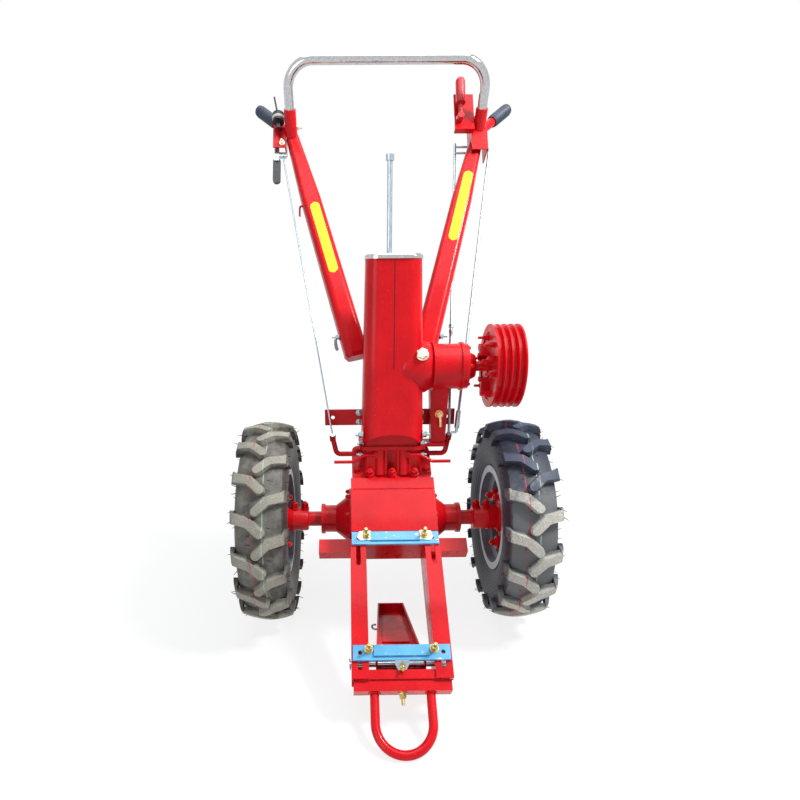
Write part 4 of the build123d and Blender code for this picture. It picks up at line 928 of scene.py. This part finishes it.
def ends_of(node, axis=1):
    """The middles of a long node's two ends on the level machine, in millimetres."""
    inverse = machine.inverted()
    points = [inverse @ vertex.co for vertex in frame["nodes"][node].data.vertices]
    points.sort(key=lambda point: point[axis])
    near = [point for point in points if point[axis] < points[0][axis] + END_DEPTH]
    far = [point for point in points if point[axis] > points[-1][axis] - END_DEPTH]
    middles = []
    for group in (near, far):
        spans = [(min(p[i] for p in group), max(p[i] for p in group)) for i in range(3)]
        middles.append(Vector([(low + high) / 2 / MM for low, high in spans]))
    return middles


print("an arm's foot is at", [round(value) for value in ends_of("handle_arm_left")[0]])

# %% [markdown]
# A grid of places on a surface makes a thin sheet. Its rim is turned in under the surface, so
# that no gap shows at its edge.

# %% A sheet over a surface
SHEET_CREASE = 50


def sheet(name, rows, finish, slot="red_paint", sink=0.0008):
    """A sheet over a grid of (place, outward way) pairs, with its rim turned in by `sink`."""
    wide, points, faces = len(rows[0]), [], []
    grid = [rows[0]] + rows + [rows[-1]]
    for index, row in enumerate(grid):
        end = index in (0, len(grid) - 1)
        line = [row[0]] + row + [row[-1]]
        for step, (place, way) in enumerate(line):
            under = end or step in (0, wide + 1)
            points.append(place - way * sink if under else place)
    width = wide + 2
    for row in range(len(grid) - 1):
        for step in range(width - 1):
            first = row * width + step
            faces.append((first, first + 1, first + width + 1, first + width))
    mesh = bpy.data.meshes.new(name)
    mesh.from_pydata(points, [], faces)
    mesh.validate()
    middle = rows[len(rows) // 2][wide // 2][1]
    if sum((face.normal for face in mesh.polygons), Vector()).dot(middle) < 0:
        mesh.flip_normals()
    mesh.materials.append(finish)
    return keep(name, mesh, slot=slot, angle=SHEET_CREASE)


print("sheets crease at", SHEET_CREASE, "degrees")

# %% [markdown]
# Each handle arm carries a long yellow label with round ends, glued on where a reader in front
# of the machine sees it. The labels are blank here: plain yellow film with a slight sheen and
# a little soil. Each row of a label runs across the arm, and its ends narrow the rows to a
# half circle.

# %% The two labels
def label_film():
    """Yellow film with soil."""
    paint = Paint("label_film")
    film = paint.shades(paint.noise(30, 3), (0.86, 0.58, 0.010), (0.95, 0.68, 0.022))
    soil = paint.span(paint.noise(160, 5, 0.7), 0.62, 0.80, 0.0, 0.4)
    paint.colour(paint.mix(soil, film, (0.55, 0.30, 0.06)))
    paint.rough(60, 0.25, 0.42)
    paint.set(Specular_IOR_Level=0.3)
    return paint.feel((paint.noise(220, 2), 0.2, 0.0002), edge=0.0004).material


HALF_WIDTH, LABEL_STEPS, LABEL_COLUMNS = 16, 44, 9
FILM_PROUD, FILM_SINK = 0.0006, 0.0010
yellow_film = label_film()


def label(name, node, start, stop, offset):
    """A label along an arm, from one share of its length to another, seen from the camera."""
    foot, tip = ends_of(node)
    course = (tip - foot).normalized()
    skin = surface(node)
    eye = camera.matrix_world.translation
    length = (tip - foot).length * (stop - start)
    rows = []
    for index in range(LABEL_STEPS + 1):
        run = length * index / LABEL_STEPS
        past = max(HALF_WIDTH - run, run - length + HALF_WIDTH, 0)
        half = max((HALF_WIDTH**2 - past**2) ** 0.5, 1.0)
        shift = Vector((offset, 0, 0))
        middle = machine @ ((foot + course * ((tip - foot).length * start + run) + shift) * MM)
        aim = (middle - eye).normalized()
        across = aim.cross(machine.to_3x3() @ course).normalized()
        row = []
        for step in range(LABEL_COLUMNS):
            side = across * (half * (step * 2 / (LABEL_COLUMNS - 1) - 1) * MM)
            place, normal, _, _ = skin.ray_cast(eye, (middle + side - eye).normalized())
            row.append((place + normal * FILM_PROUD, normal))
        rows.append(row)
    return sheet(name, rows, yellow_film, slot=None, sink=FILM_SINK)


label("label_right", "handle_arm_right", 0.373, 0.701, 10)
label("label_left", "handle_arm_left", 0.516, 0.847, 0)
print("labels:", yellow_film.name)

# %% [markdown]
# The column is cast in two halves. Their seam runs down the front, from the top to where the
# branch leaves for the clutch. It is a sheet three points wide, whose middle stands proud, in a
# red so deep that it reads as a shadow line.

# %% The seam of the column
column_skin = surface("column")
FACING = column.to_3x3() @ Vector((0, -1, 0))
AHEAD = -300
SEAM_FOOT, SEAM_LENGTH, SEAM_STEPS = 224, 300, 60
SEAM_PROFILE = ((-1.5, 0.1), (0, 0.9), (1.5, 0.1))
seam_red = red_enamel("seam_red", 90, 0.0008, 0.5, (0.10, 0.001, 0.003), (0.16, 0.002, 0.004))
seam_rows = []
for step in range(SEAM_STEPS):
    up = SEAM_FOOT + SEAM_LENGTH * step / (SEAM_STEPS - 1)
    row = []
    for x, proud in SEAM_PROFILE:
        depth = meet(column_skin, (x, AHEAD, up), (0, 1, 0), column).y
        row.append((column @ (Vector((x, depth - proud, up)) * MM), FACING))
    seam_rows.append(row)
sheet("column_seam", seam_rows, seam_red, slot="red_casting")
print("seam rows:", len(seam_rows))

# %% [markdown]
# ## Turned pieces
#
# Plugs, knobs and adjusters are turned on a lathe. `turned` spins a profile of radii and
# heights about the Z of a place, and `along` makes such a place. A `rod` follows a smooth line
# through some points.

# %% Lathe and rod tools
TURN_STEPS = 28


def turned(name, profile, place, finish, steps=TURN_STEPS, **options):
    """A profile of (radius, height) in millimetres, spun about the Z of its place."""
    points, faces = [], []
    for radius, height in profile:
        for index in range(steps):
            angle = 2 * pi * index / steps
            points.append((radius * cos(angle), radius * sin(angle), height))
    for ring in range(len(profile) - 1):
        for index in range(steps):
            after = (index + 1) % steps
            low, high = ring * steps, (ring + 1) * steps
            faces.append((low + index, low + after, high + after, high + index))
    faces.append(tuple(reversed(range(steps))))
    faces.append(tuple(range((len(profile) - 1) * steps, len(profile) * steps)))
    mesh = bpy.data.meshes.new(name)
    mesh.from_pydata([Vector(point) * MM for point in points], [], faces)
    mesh.transform(place)
    mesh.materials.append(finish)
    return keep(name, mesh, **options)


def along(start, way):
    """A matrix at a place in millimetres, with its Z along a way."""
    turn = (machine.to_3x3() @ Vector(way)).to_track_quat("Z", "X").to_matrix().to_4x4()
    return Matrix.Translation(machine @ (Vector(start) * MM)) @ turn


def rod(name, points, radius, finish, frame_of=machine, **options):
    """A round rod along a smooth line near some points, in millimetres."""
    data = bpy.data.curves.new(name, "CURVE")
    data.dimensions = "3D"
    line = data.splines.new("NURBS")
    line.points.add(len(points) - 1)
    for point, place in zip(line.points, points):
        point.co = (*(frame_of @ (Vector(place) * MM)), 1)
    line.order_u = 3
    line.use_endpoint_u = True
    data.bevel_depth = radius * MM
    data.use_fill_caps = True
    thing = bpy.data.objects.new(name + "_line", data)
    bpy.context.scene.collection.objects.link(thing)
    mesh = evaluated(thing)
    bpy.data.objects.remove(thing)
    mesh.materials.append(finish)
    return keep(name, mesh, **options)


print("turned pieces have", TURN_STEPS, "sides unless told otherwise")

# %% [markdown]
# The branch swells out of the column on its way to the clutch drum, in one soft casting. It is
# round, so it is turned too, as a long profile that rises gently and ends in the drum.

# %% The branch to the clutch
FLARE = [
    (70, 18), (75.4, 26), (78.0, 33), (80.0, 44), (81.2, 60), (81.4, 76),
    (80.2, 89), (77, 100), (71, 110), (65.5, 118), (63.5, 122), (60, 122),
]
branch = along((0, CY, CZ), OUT)
turned("branch_fairing", FLARE, branch, casting_red, steps=72, slot="red_casting")
print("branch is", 2 * max(radius for radius, _ in FLARE), "mm thick")

# %% [markdown]
# The clutch drum has a large filler plug on top, with a collar round it. On the front of its
# leg it has a brass drain plug with a small tap. The drum leans with the column, so the drain
# plug stands square to the column's front, and the tap hangs along the column's length.

# %% Filler plug and drain tap
brass = plated("brass_metal", (0.66, 0.40, 0.17), (0.92, 0.66, 0.38), 0.34)
cream_zinc = plated("cream_zinc", (0.74, 0.68, 0.52), (0.92, 0.88, 0.74), 0.38)
PLUG_X, PLUG_RISE, PLUG_WAY = 97, 76, Vector((-0.16, -0.34, 0.93))
plug_foot = Vector((PLUG_X, CY, CZ)) + PLUG_WAY * PLUG_RISE
COLLAR = [(14, 0), (14.5, 1), (14.5, 5), (13.5, 6), (8, 6)]
plug = along(plug_foot, PLUG_WAY)
turned("filler_plug_collar", COLLAR, plug, casting_red, slot="red_casting")
plug_head = (plug_foot + PLUG_WAY * 5, PLUG_WAY, 30)
bolts("filler_plug", cream_zinc, [plug_head], Head=0.42, Washer=0.6, Stud=0.06)
COLUMN_UP, COLUMN_OUT = Vector((0, 0.635, 0.773)), Vector((0, -0.773, 0.635))
DRAIN_X, DRAIN_Z = 149, 594
drain = meet(surface("clutch_case"), (DRAIN_X, -400, DRAIN_Z), AFT)
bolts("drain_plug", brass, [(drain, COLUMN_OUT, 20)], Head=0.75, Washer=0.62, Stud=0.5)
cock = drain + COLUMN_OUT * 15
cock_line = [
    cock + COLUMN_UP * 9,
    cock,
    cock - COLUMN_UP * 20 + Vector(OUT) * 2,
    cock - COLUMN_UP * 38 + Vector(OUT) * 3,
]
rod("drain_cock", cock_line, 5.5, brass)
print("drain plug at", [round(value) for value in drain])

# %% [markdown]
# The clutch rod is adjusted by a thick six-sided sleeve with a lock nut. It sits on the straight
# line from the rod's foot to the grip end, at a share of its length.

# %% The sleeve of the clutch rod
TIP = Vector((318, 1118, 992))
RUN, RISE = Vector((0, 0.911, 0.413)), Vector((0, -0.413, 0.911))
rod_foot = Vector((186, 190, 523.5))
rod_top = Vector((247, TIP.y, TIP.z)) - 32 * RISE
rod_way = (rod_top - rod_foot).normalized()
SLEEVE_SHARE, NUT_ABOVE = 0.285, 64
run_to_sleeve = (rod_top - rod_foot).length * SLEEVE_SHARE
TURNBUCKLE = [(5, 0), (7.5, 1), (7.5, 10), (6.3, 12), (6.3, 44), (7.5, 46), (7.5, 56), (5, 58)]
sleeve_place = along(rod_foot + rod_way * run_to_sleeve, rod_way)
turned("clutch_rod_sleeve", TURNBUCKLE, sleeve_place, zinc, steps=6)
nut_spot = rod_foot + rod_way * (run_to_sleeve + NUT_ABOVE)
bolts("clutch_rod_nut", zinc, [(nut_spot, rod_way, 15)], Head=0.5, Washer=0.58, Stud=0.1)
print("clutch rod:", round((rod_top - rod_foot).length), "mm")

# %% [markdown]
# ## Hairs of new tyres
#
# A new tyre is covered with thin rubber hairs, where air left the mould. They stand on both
# shoulders. Their roots are found by rays on to the tyre from each side, and a node tree puts a
# tapering hair on each root. They go round with the wheels. Each tyre has its own seed, so the
# hairs differ but are the same on every run.

# %% Vent hairs
hair_tree = Tree("vent hairs", Thickness=0.085, Finish="material")
hair_base = hair_tree.math("MULTIPLY", hair_tree.given["Thickness"], 1.0)
hair_tip = hair_tree.math("MULTIPLY", hair_tree.given["Thickness"], 0.45)
hair = cone(hair_tree, 5, hair_tip, hair_base, 1.0, **{"Side Segments": 2})
hair_tree.finish(hair_tree.on_points(hair))
HAIRS_A_SIDE, HAIR_CIRCLES = 84, (262, 284, 296, 304)
RAY_START, SHOULDER, TREAD_MARGIN = 160, 290, 5


def hair_way(chance, face, outer, radius, angle):
    """A random length and way for a hair, which leans out less on the outer shoulder."""
    length = chance.uniform(11, 17)
    out = chance.uniform(0.40, 0.60) if outer else chance.uniform(0.5, 0.95)
    rise = chance.uniform(0.1, 0.9) if radius < SHOULDER else chance.uniform(-0.2, 0.6)
    twist = chance.uniform(-0.5, 0.5)
    fore = rise * cos(angle) - twist * sin(angle)
    above = rise * sin(angle) + twist * cos(angle)
    return length, Vector((face * out, fore, above)).normalized()


def hairs(side_name, seed):
    """Seats of the hairs on both shoulders of one tyre, all of them within its tread."""
    chance = random.Random(seed)
    skin = surface(f"tyre_{side_name}")
    centre = machine.inverted() @ Vector(joints[f"wheel_{side_name}_spin"]["pos_m"]) / MM
    found = []
    for face in (-1, 1):
        for index in range(HAIRS_A_SIDE):
            angle = 2 * pi * (index + chance.uniform(-0.3, 0.3)) / HAIRS_A_SIDE
            radius = chance.choice(HAIR_CIRCLES)
            beside = Vector((face * RAY_START, radius * cos(angle), radius * sin(angle)))
            spot = meet(skin, centre + beside, (-face, 0, 0))
            if spot is None:
                continue
            length, way = hair_way(chance, face, face * centre.x > 0, radius, angle)
            tip = spot + way * length - centre
            if (tip.y**2 + tip.z**2) ** 0.5 < TYRE_RADIUS / MM - TREAD_MARGIN:
                found.append((spot - way, way, length))
    return found


hair_rubber = moulded("hair_rubber", (0.010, 0.011, 0.014), (0.030, 0.031, 0.036), 0.6, 500, 0.0001)
for side_name, seed in (("left", 3), ("right", 8)):
    roots = seats(hairs(side_name, seed))
    count = len(roots.vertices)
    wheel = dict(body=f"wheel_{side_name}", slot="tyre_rubber")
    grow(f"vent_hairs_{side_name}", roots, hair_tree, Finish=hair_rubber, **wheel)
    print(side_name, "hairs:", count)

# %% [markdown]
# ## Welds
#
# The frame is welded from sheet. A weld is a row of little overlapping puddles, so one more
# node tree puts a flattened ball on each point of a line. The lines run where two nodes meet,
# and their places come from the boxes of those nodes.

# %% Weld beads
WELD_WIDTH, WELD_PITCH, WANDER = 6.5, 3, 0.5
weld_tree = Tree("weld", Flatness=0.55, Finish="material")
puddle = weld_tree.add("GeometryNodeMeshIcoSphere", {"Radius": 0.5, "Subdivisions": 2})
flat = weld_tree.add(
    "ShaderNodeCombineXYZ", {"X": 1.0, "Y": 1.0, "Z": weld_tree.given["Flatness"]}
)
puddle = weld_tree.add("GeometryNodeTransform", {"Geometry": puddle, "Scale": flat})
weld_tree.finish(weld_tree.on_points(puddle))


def weld(name, lines):
    """Beads along lines of (start, end, way up), which wander a little."""
    chance = random.Random(name)
    spots = []
    for start, end, way in lines:
        start, end = Vector(start), Vector(end)
        count = max(2, int((end - start).length / WELD_PITCH))
        for index in range(count + 1):
            wander = Vector([chance.uniform(-WANDER, WANDER) for _ in range(3)])
            size = WELD_WIDTH * chance.uniform(0.9, 1.15)
            spots.append((start.lerp(end, index / count) + wander, way, size))
    return grow(name, seats(spots), weld_tree, Finish=sheet_red, slot="red_paint")


print("welds have a puddle every", WELD_PITCH, "mm")

# %% [markdown]
# The hoop is a bent bar whose two ends are welded all round to the front beam. The rails are
# welded to the beams along their edges.

# %% Welds of the frame
hoop_bar = (hoop_high.z - hoop_low.z) / 2
hoop_x = hoop_high.x - hoop_bar
RING_STEPS = 12
hoop_welds = []
for side in (-1, 1):
    centre = Vector((side * hoop_x, ledge_low.y - 0.5, hoop_z))
    angles = [2 * pi * index / RING_STEPS for index in range(RING_STEPS + 1)]
    bar = hoop_bar + 1
    ring = [centre + Vector((bar * cos(angle), 0, bar * sin(angle))) for angle in angles]
    hoop_welds += [(first, second, FORE) for first, second in zip(ring, ring[1:])]
weld("hoop_welds", hoop_welds)
rail_low, rail_high = box_mm("rail_left")
beam_low, beam_high = box_mm("rear_beam")
front, back, ledge_top = rail_low.y, beam_low.y, ledge_high.z
TOE, CORNER, LEDGE_RUN, BEAM_RUN = 2, 3, 22, 40
OFF_FACE, SLANT_LOW, SLANT_HIGH = 0.5, 18, 22
frame_welds = []
for side in (-1, 1):
    inner, outer = side * rail_low.x, side * rail_high.x
    slant = side * (rail_high.x - CORNER)
    weld_y = front - OFF_FACE
    frame_welds += [
        ((inner, ledge_high.y - LEDGE_RUN, ledge_top), (inner, front + TOE, ledge_top), UP),
        ((slant, weld_y, hoop_z + SLANT_LOW), (inner, weld_y, hoop_z + SLANT_HIGH), FORE),
        ((outer, back, beam_high.z - 1), (outer, back + BEAM_RUN, beam_high.z), OUT),
    ]
weld("frame_welds", frame_welds)
print("hoop welds at x", round(hoop_x), "mm; rails run to", round(front), "mm")

# %% [markdown]
# ## The handles
#
# Each arm is bolted at its foot. A bolt there has to sit on the outer side of the arm, so
# `side_spot` shoots a ray at the arm from beside the tractor, at a share of its length. Places
# near the arm's tip are measured along and above the arm, and `tip_spot` turns them into places
# on the level machine.

# %% Bolts at the feet of the arms
FAR_OUT = 500


def tip_spot(x, run, rise):
    """A place near the arm's tip: across the machine, along the arm and above it."""
    return Vector((x, TIP.y, TIP.z)) + RUN * run + RISE * rise


def side_spot(node, share, side):
    """Where the outer side of a handle arm is, at a share of its length."""
    foot, tip = ends_of(node)
    aim = foot.lerp(tip, share)
    return meet(surface(node), (side * FAR_OUT, aim.y, aim.z), (-side, 0, 0))


FOOT_SHARE = 0.085
foot_right = side_spot("handle_arm_right", FOOT_SHARE, -1)
foot_left = side_spot("handle_arm_left", FOOT_SHARE, 1)
bolts("arm_foot_bolts", zinc, [(foot_right, IN, 14), (foot_left, OUT, 14)], Stud=0.9)
WING = [(-6, -5), (-26, -9), (-30, -2), (-22, 4), (-6, 5), (6, 5), (9, 0), (6, -5)]
wing_place = along(foot_right + Vector((-12, -12, -10)), (0.1, -0.5, 0.85))
plate("arm_wing", WING, 4, wing_place, dark_steel)
print("arm foot bolts at", [round(value) for value in foot_right])

# %% [markdown]
# The arch is clamped in its sockets, and the controls have their own small bolts. More bolts
# join the steering arms to the neck of the gearbox. Each is found by a ray. A ray that misses
# leaves its bolt out, so the count is printed.

# %% Bolts of the controls and the neck
handle_rays = [
    ("arch_socket_right", tip_spot(-200, 24, 22), IN, 16),
    ("arch_socket_left", tip_spot(200, 24, 22), OUT, 14),
    ("lever_bracket", tip_spot(248, 30, 150), -RISE, 13),
    ("throttle_bracket", tip_spot(-352, -30, 150), -RISE, 12),
]
handle_bolts = []
for node, start, way, size in handle_rays:
    spot = meet(surface(node), start, way)
    if spot:
        handle_bolts.append((spot, -Vector(way), size))
bolts("handle_bolts", cream_zinc, handle_bolts, Stud=0.7)
neck = surface("final_drive_case", "steering_arms", "column")
NECK_BOLTS = ((140, 590, 17), (140, 545, 14), (120, 512, 14))
neck_bolts = []
for side in (-1, 1):
    for y, z, size in NECK_BOLTS:
        spot = meet(neck, (side * 300, y, z), (-side, 0, 0))
        if spot:
            neck_bolts.append((spot, (side, 0, 0), size))
bolts("neck_bolts", zinc, neck_bolts, Stud=0.6)
print("handle bolts:", len(handle_bolts), "neck bolts:", len(neck_bolts))

# %% [markdown]
# One arm has a little hook that holds the cable. The throttle, at the end of the same arm, is a
# knob of black plastic with a white ring, and both are turned about the arm's own direction.

# %% The cable hook and the throttle knob
HOOK_SHARE = 0.68
hook_foot = side_spot("handle_arm_right", HOOK_SHARE, -1)
hook_points = [
    hook_foot + Vector((3, 0, 0)),
    hook_foot + Vector((-7, 2, 2)),
    hook_foot - RUN * 14 + Vector((-9, 0, 0)),
    hook_foot - RUN * 36 + Vector((-8, 0, 0)),
]
rod("cable_hook", hook_points, 3.2, sheet_red, slot="red_paint")
white_plastic = moulded("white_moulding", (0.62, 0.62, 0.60), (0.78, 0.78, 0.76), 0.35, 300, 0.0002)
knob = along(tip_spot(-362, 44, 40), RUN)
RING = [(15, -7), (20.4, -6.8), (21.4, -5), (21.4, 1), (20.4, 2.8), (15, 3)]
CAP = [(17, 13), (20.4, 14), (20.4, 15.5), (17, 17.4), (8, 18.4), (2, 18.6)]
turned("throttle_ring", RING, knob, white_plastic, slot="black_plastic")
turned("throttle_cap", CAP, knob, black_plastic, slot="black_plastic")
print("throttle ring is", 2 * max(radius for radius, _ in RING), "mm across")

# %% [markdown]
# The rubber grips have rounded ribs for the fingers. The ribs are one turned sleeve per grip,
# a whisker outside the CAD grip, whose axis and radius are measured first.

# %% The ribs of the grips
RIB_SPACING, GRIP_MARGIN = 9, 6
RIB_SHAPE = ((0.1, 0.2), (0.3, 1.4), (0.55, 1.7), (0.8, 1.2), (0.95, 0.1))


def grip_sleeve(name, node):
    """Ribs round a grip, from its own axis and radius."""
    first, last = ends_of(node, 0)
    way = (last - first).normalized()
    inverse = machine.inverted()
    points = [inverse @ vertex.co / MM for vertex in frame["nodes"][node].data.vertices]
    runs = [(point - first).dot(way) for point in points]
    radius = max((point - first - way * run).length for point, run in zip(points, runs))
    low, high = min(runs) + GRIP_MARGIN, max(runs) - GRIP_MARGIN
    count = int((high - low) / RIB_SPACING)
    pitch = (high - low) / count
    profile = [(radius - 1.0, low)]
    for rib in range(count):
        profile += [(radius + proud, low + pitch * (rib + share)) for share, proud in RIB_SHAPE]
    profile.append((radius - 1.0, high))
    turned(name, profile, along(first, way), grip_rubber, slot="grip_rubber")
    return count


for side_name, _ in SIDES:
    ribs = grip_sleeve(f"grip_ribs_{side_name}", f"grip_{side_name}")
print("ribs on a grip:", ribs)

# %% [markdown]
# Three more sets follow. The column's top plate has two small screws, placed from its box. The
# side bar at the column's foot has four bolts, found by rays in the column's own frame. The rear
# hitch has four big bolts, found by rays from behind.

# %% Bolts of the top plate, the side bar and the hitch
SCREW_INSET, SCREW_SINK = 17, 0.3
cap_high = box_mm("column_top_plate", column)[1]
screw_y = cap_high.y - SCREW_INSET
screw_x, screw_z = cap_high.x - SCREW_INSET, cap_high.z - SCREW_SINK
screws = [((side * screw_x, screw_y, screw_z), UP, 10) for side in (-1, 1)]
bolts("top_plate_screws", dark_steel, screws, column, Head=0.2, Washer=0.5, Stud=0.05)
bar_skin = surface("side_bar")
bar_spots = [
    meet(bar_skin, (side * 101, AHEAD, up), (0, 1, 0), column) for side in (-1, 1) for up in (33, 64)
]
side_bolts = [(spot, (0, -1, 0), 13) for spot in bar_spots if spot]
bolts("side_bar_bolts", zinc, side_bolts, column, Stud=0.8)
hitch_skin = surface("rear_hitch", "final_drive_case")
HITCH_X, HITCH_RISE, BEHIND = 42, 32, 600
hitch_spots = [
    meet(hitch_skin, (x, BEHIND, axle_z + rise), FORE)
    for x in (-HITCH_X, HITCH_X) for rise in (-HITCH_RISE, HITCH_RISE)
]
hitch_bolts = [(spot, AFT, 19) for spot in hitch_spots if spot]
bolts("hitch_bolts", casting_red, hitch_bolts, slot="red_casting")
print("side bar bolts:", len(side_bolts), "hitch bolts:", len(hitch_bolts))

# %% [markdown]
# The front stand hangs on a pin, which has a split pin bent through each end. The stand itself
# is pressed with a raised panel, and a small wire catch is welded to one edge of its tray. Panel
# and catch ride on the stand, and are measured in a frame that hangs from the hinge.

# %% The stand's pins, panel and catch
hinge = machine.inverted() @ Vector(joints["stand_fold"]["pos_m"]) / MM
pin_low, pin_high = box_mm("stand_pin")
HINGE_BEND = ((0, -15, 2), (0, 12, 0), (3, 17, -5), (1, 13, -9))
for name, side, edge in (("right", -1, pin_low.x), ("left", 1, pin_high.x)):
    x = edge - side * 3
    loop = [(x + side * out, hinge.y + back, hinge.z + up) for out, back, up in HINGE_BEND]
    rod(f"split_pin_{name}", loop, 1.5, dark_steel)
STAND_HANG, TRAY_FLOOR = 48, -10
in_tray = machine @ Matrix.Translation(hinge * MM) @ Matrix.Rotation(radians(-STAND_HANG), 4, "X")
in_tray = in_tray @ Matrix.Translation((0, 0, TRAY_FLOOR * MM))
PANEL = [(-42, 150), (42, 150), (32, 352), (-32, 352)]
plate("stand_panel", PANEL, 4, in_tray, sheet_red, round_edge=1.8, body="stand", slot="red_paint")
CATCH = [
    (-50, 214, 15), (-60, 213, 15), (-68, 218, 17), (-69, 229, 20), (-62, 235, 22), (-57, 231, 22),
]
rod("stand_catch", CATCH, 3, dark_steel, frame_of=in_tray, body="stand")
print("stand hinge at", [round(value) for value in hinge])

# %% [markdown]
# The sheet over the frame is folded once across, which shows as a fine pressed ridge. The ridge
# finds the sheet under it, so that it follows the sheet's slope.

# %% The fold of the frame plate
FOLD_Y, FOLD_PROUD, RAY_HEIGHT = 11, 0.2, 50
FOLD_SHARES = (0.03, 0.5, 0.97)
plate_skin = surface("frame_plate")
plate_low, plate_high = box_mm("frame_plate")
fold = []
for share in FOLD_SHARES:
    x = plate_low.x + (plate_high.x - plate_low.x) * share
    spot = meet(plate_skin, (x, FOLD_Y, plate_high.z + RAY_HEIGHT), (0, 0, -1))
    fold.append(spot + Vector((0, 0, FOLD_PROUD)))
rod("plate_fold", fold, 2.0, sheet_red, slot="red_paint")
print("fold at", [round(value) for value in fold[1]])

# %% [markdown]
# Between the axle and the disc, the hub is a stout clamped sleeve that ends in a star of five
# lobes. The star is drawn once as an outline and stands against the flange of the CAD hub. Each
# lobe ends in a round boss with a bolt. Both hubs are alike, so the sizes measured for the hub
# bolts serve on both sides.

# %% Hub sleeves and stars
SLEEVE = [(26, -48), (35, -47), (38, -42), (38, 30), (42, 36), (48, 42), (64, 50), (64, 52)]
LOBES, LOBE_BEND = 5, radians(28)
STAR_PITCH, STAR_LOBE, STAR_VALLEY, STAR_DEEP = 84, 24, 68, 20
STAR_BEHIND_FACE = 15
BOSS, BOSS_SEAT, BOSS_HEIGHT = [(22, 0), (22, -16), (20, -19), (3, -19)], 1, 18
star = []
for lobe in range(LOBES):
    angle = 2 * pi * lobe / LOBES
    for step in range(-3, 4):
        bend = angle + step * LOBE_BEND
        x = STAR_PITCH * cos(angle) + STAR_LOBE * cos(bend)
        star.append((x, STAR_PITCH * sin(angle) + STAR_LOBE * sin(bend)))
    valley = angle + pi / LOBES
    star.append((STAR_VALLEY * cos(valley), STAR_VALLEY * sin(valley)))
star_x = face - STAR_DEEP - STAR_BEHIND_FACE
for side_name, side in SIDES:
    wheel = dict(body=f"wheel_{side_name}", slot="red_casting")
    way = (side, 0, 0)
    sleeve_place = along((side * sleeve, 0, axle_z), way)
    turned(f"hub_sleeve_{side_name}", SLEEVE, sleeve_place, casting_red, **wheel)
    axes = Matrix(((0, 0, side, 0), (1, 0, 0, 0), (0, side, 0, 0), (0, 0, 0, 1)))
    star_place = at(side * star_x, 0, axle_z) @ axes
    plate(f"hub_star_{side_name}", star, STAR_DEEP, star_place, casting_red, round_edge=3, **wheel)
    seat = (side * (star_x + BOSS_SEAT), 0, axle_z)
    for number, spot in enumerate(round_axis(seat, STAR_PITCH, LOBES)):
        turned(f"hub_boss_{side_name}_{number}", BOSS, along(spot, way), casting_red, 20, **wheel)
    boss_top = (side * (star_x - BOSS_HEIGHT), 0, axle_z)
    hub_bolts = [(spot, (-side, 0, 0), 19) for spot in round_axis(boss_top, STAR_PITCH, LOBES)]
    bolts(f"hub_bolts_{side_name}", casting_red, hub_bolts, **wheel)
print("star against the hub at", round(star_x), "mm")

# %% [markdown]
# Each wheel has a black valve that leans out of its rim. It is turned as well, and its place
# comes from the rim's own box.

# %% The valves of the tyres
VALVE = [(3, 0), (4.2, 1), (4.2, 12), (3.4, 14), (3.4, 24), (4.4, 25), (4.4, 34), (2.6, 36)]
VALVE_ANGLE, VALVE_OUT, VALVE_DOWN = 0.7, 0.82, 0.57
RIM_WALL, VALVE_ASIDE = 34, 26
for side_name, side in SIDES:
    rim_low, rim_high = box_mm(f"rim_{side_name}")
    root_circle = (rim_high.z - rim_low.z) / 2 - RIM_WALL
    x = (rim_low.x + rim_high.x) / 2 + side * VALVE_ASIDE
    fore, above = cos(VALVE_ANGLE), sin(VALVE_ANGLE)
    way = Vector((side * VALVE_OUT, VALVE_DOWN * fore, -VALVE_DOWN * above))
    valve = along(Vector((x, -root_circle * fore, axle_z + root_circle * above)), way)
    wheel = dict(body=f"wheel_{side_name}", slot="black_plastic")
    turned(f"valve_{side_name}", VALVE, valve, black_plastic, steps=14, **wheel)
print("valves are", VALVE[-1][1], "mm long")

# %% [markdown] ## Closing the lesson At the end, the view layer is brought up to date once more.

# %% A last update
bpy.context.view_layer.update()
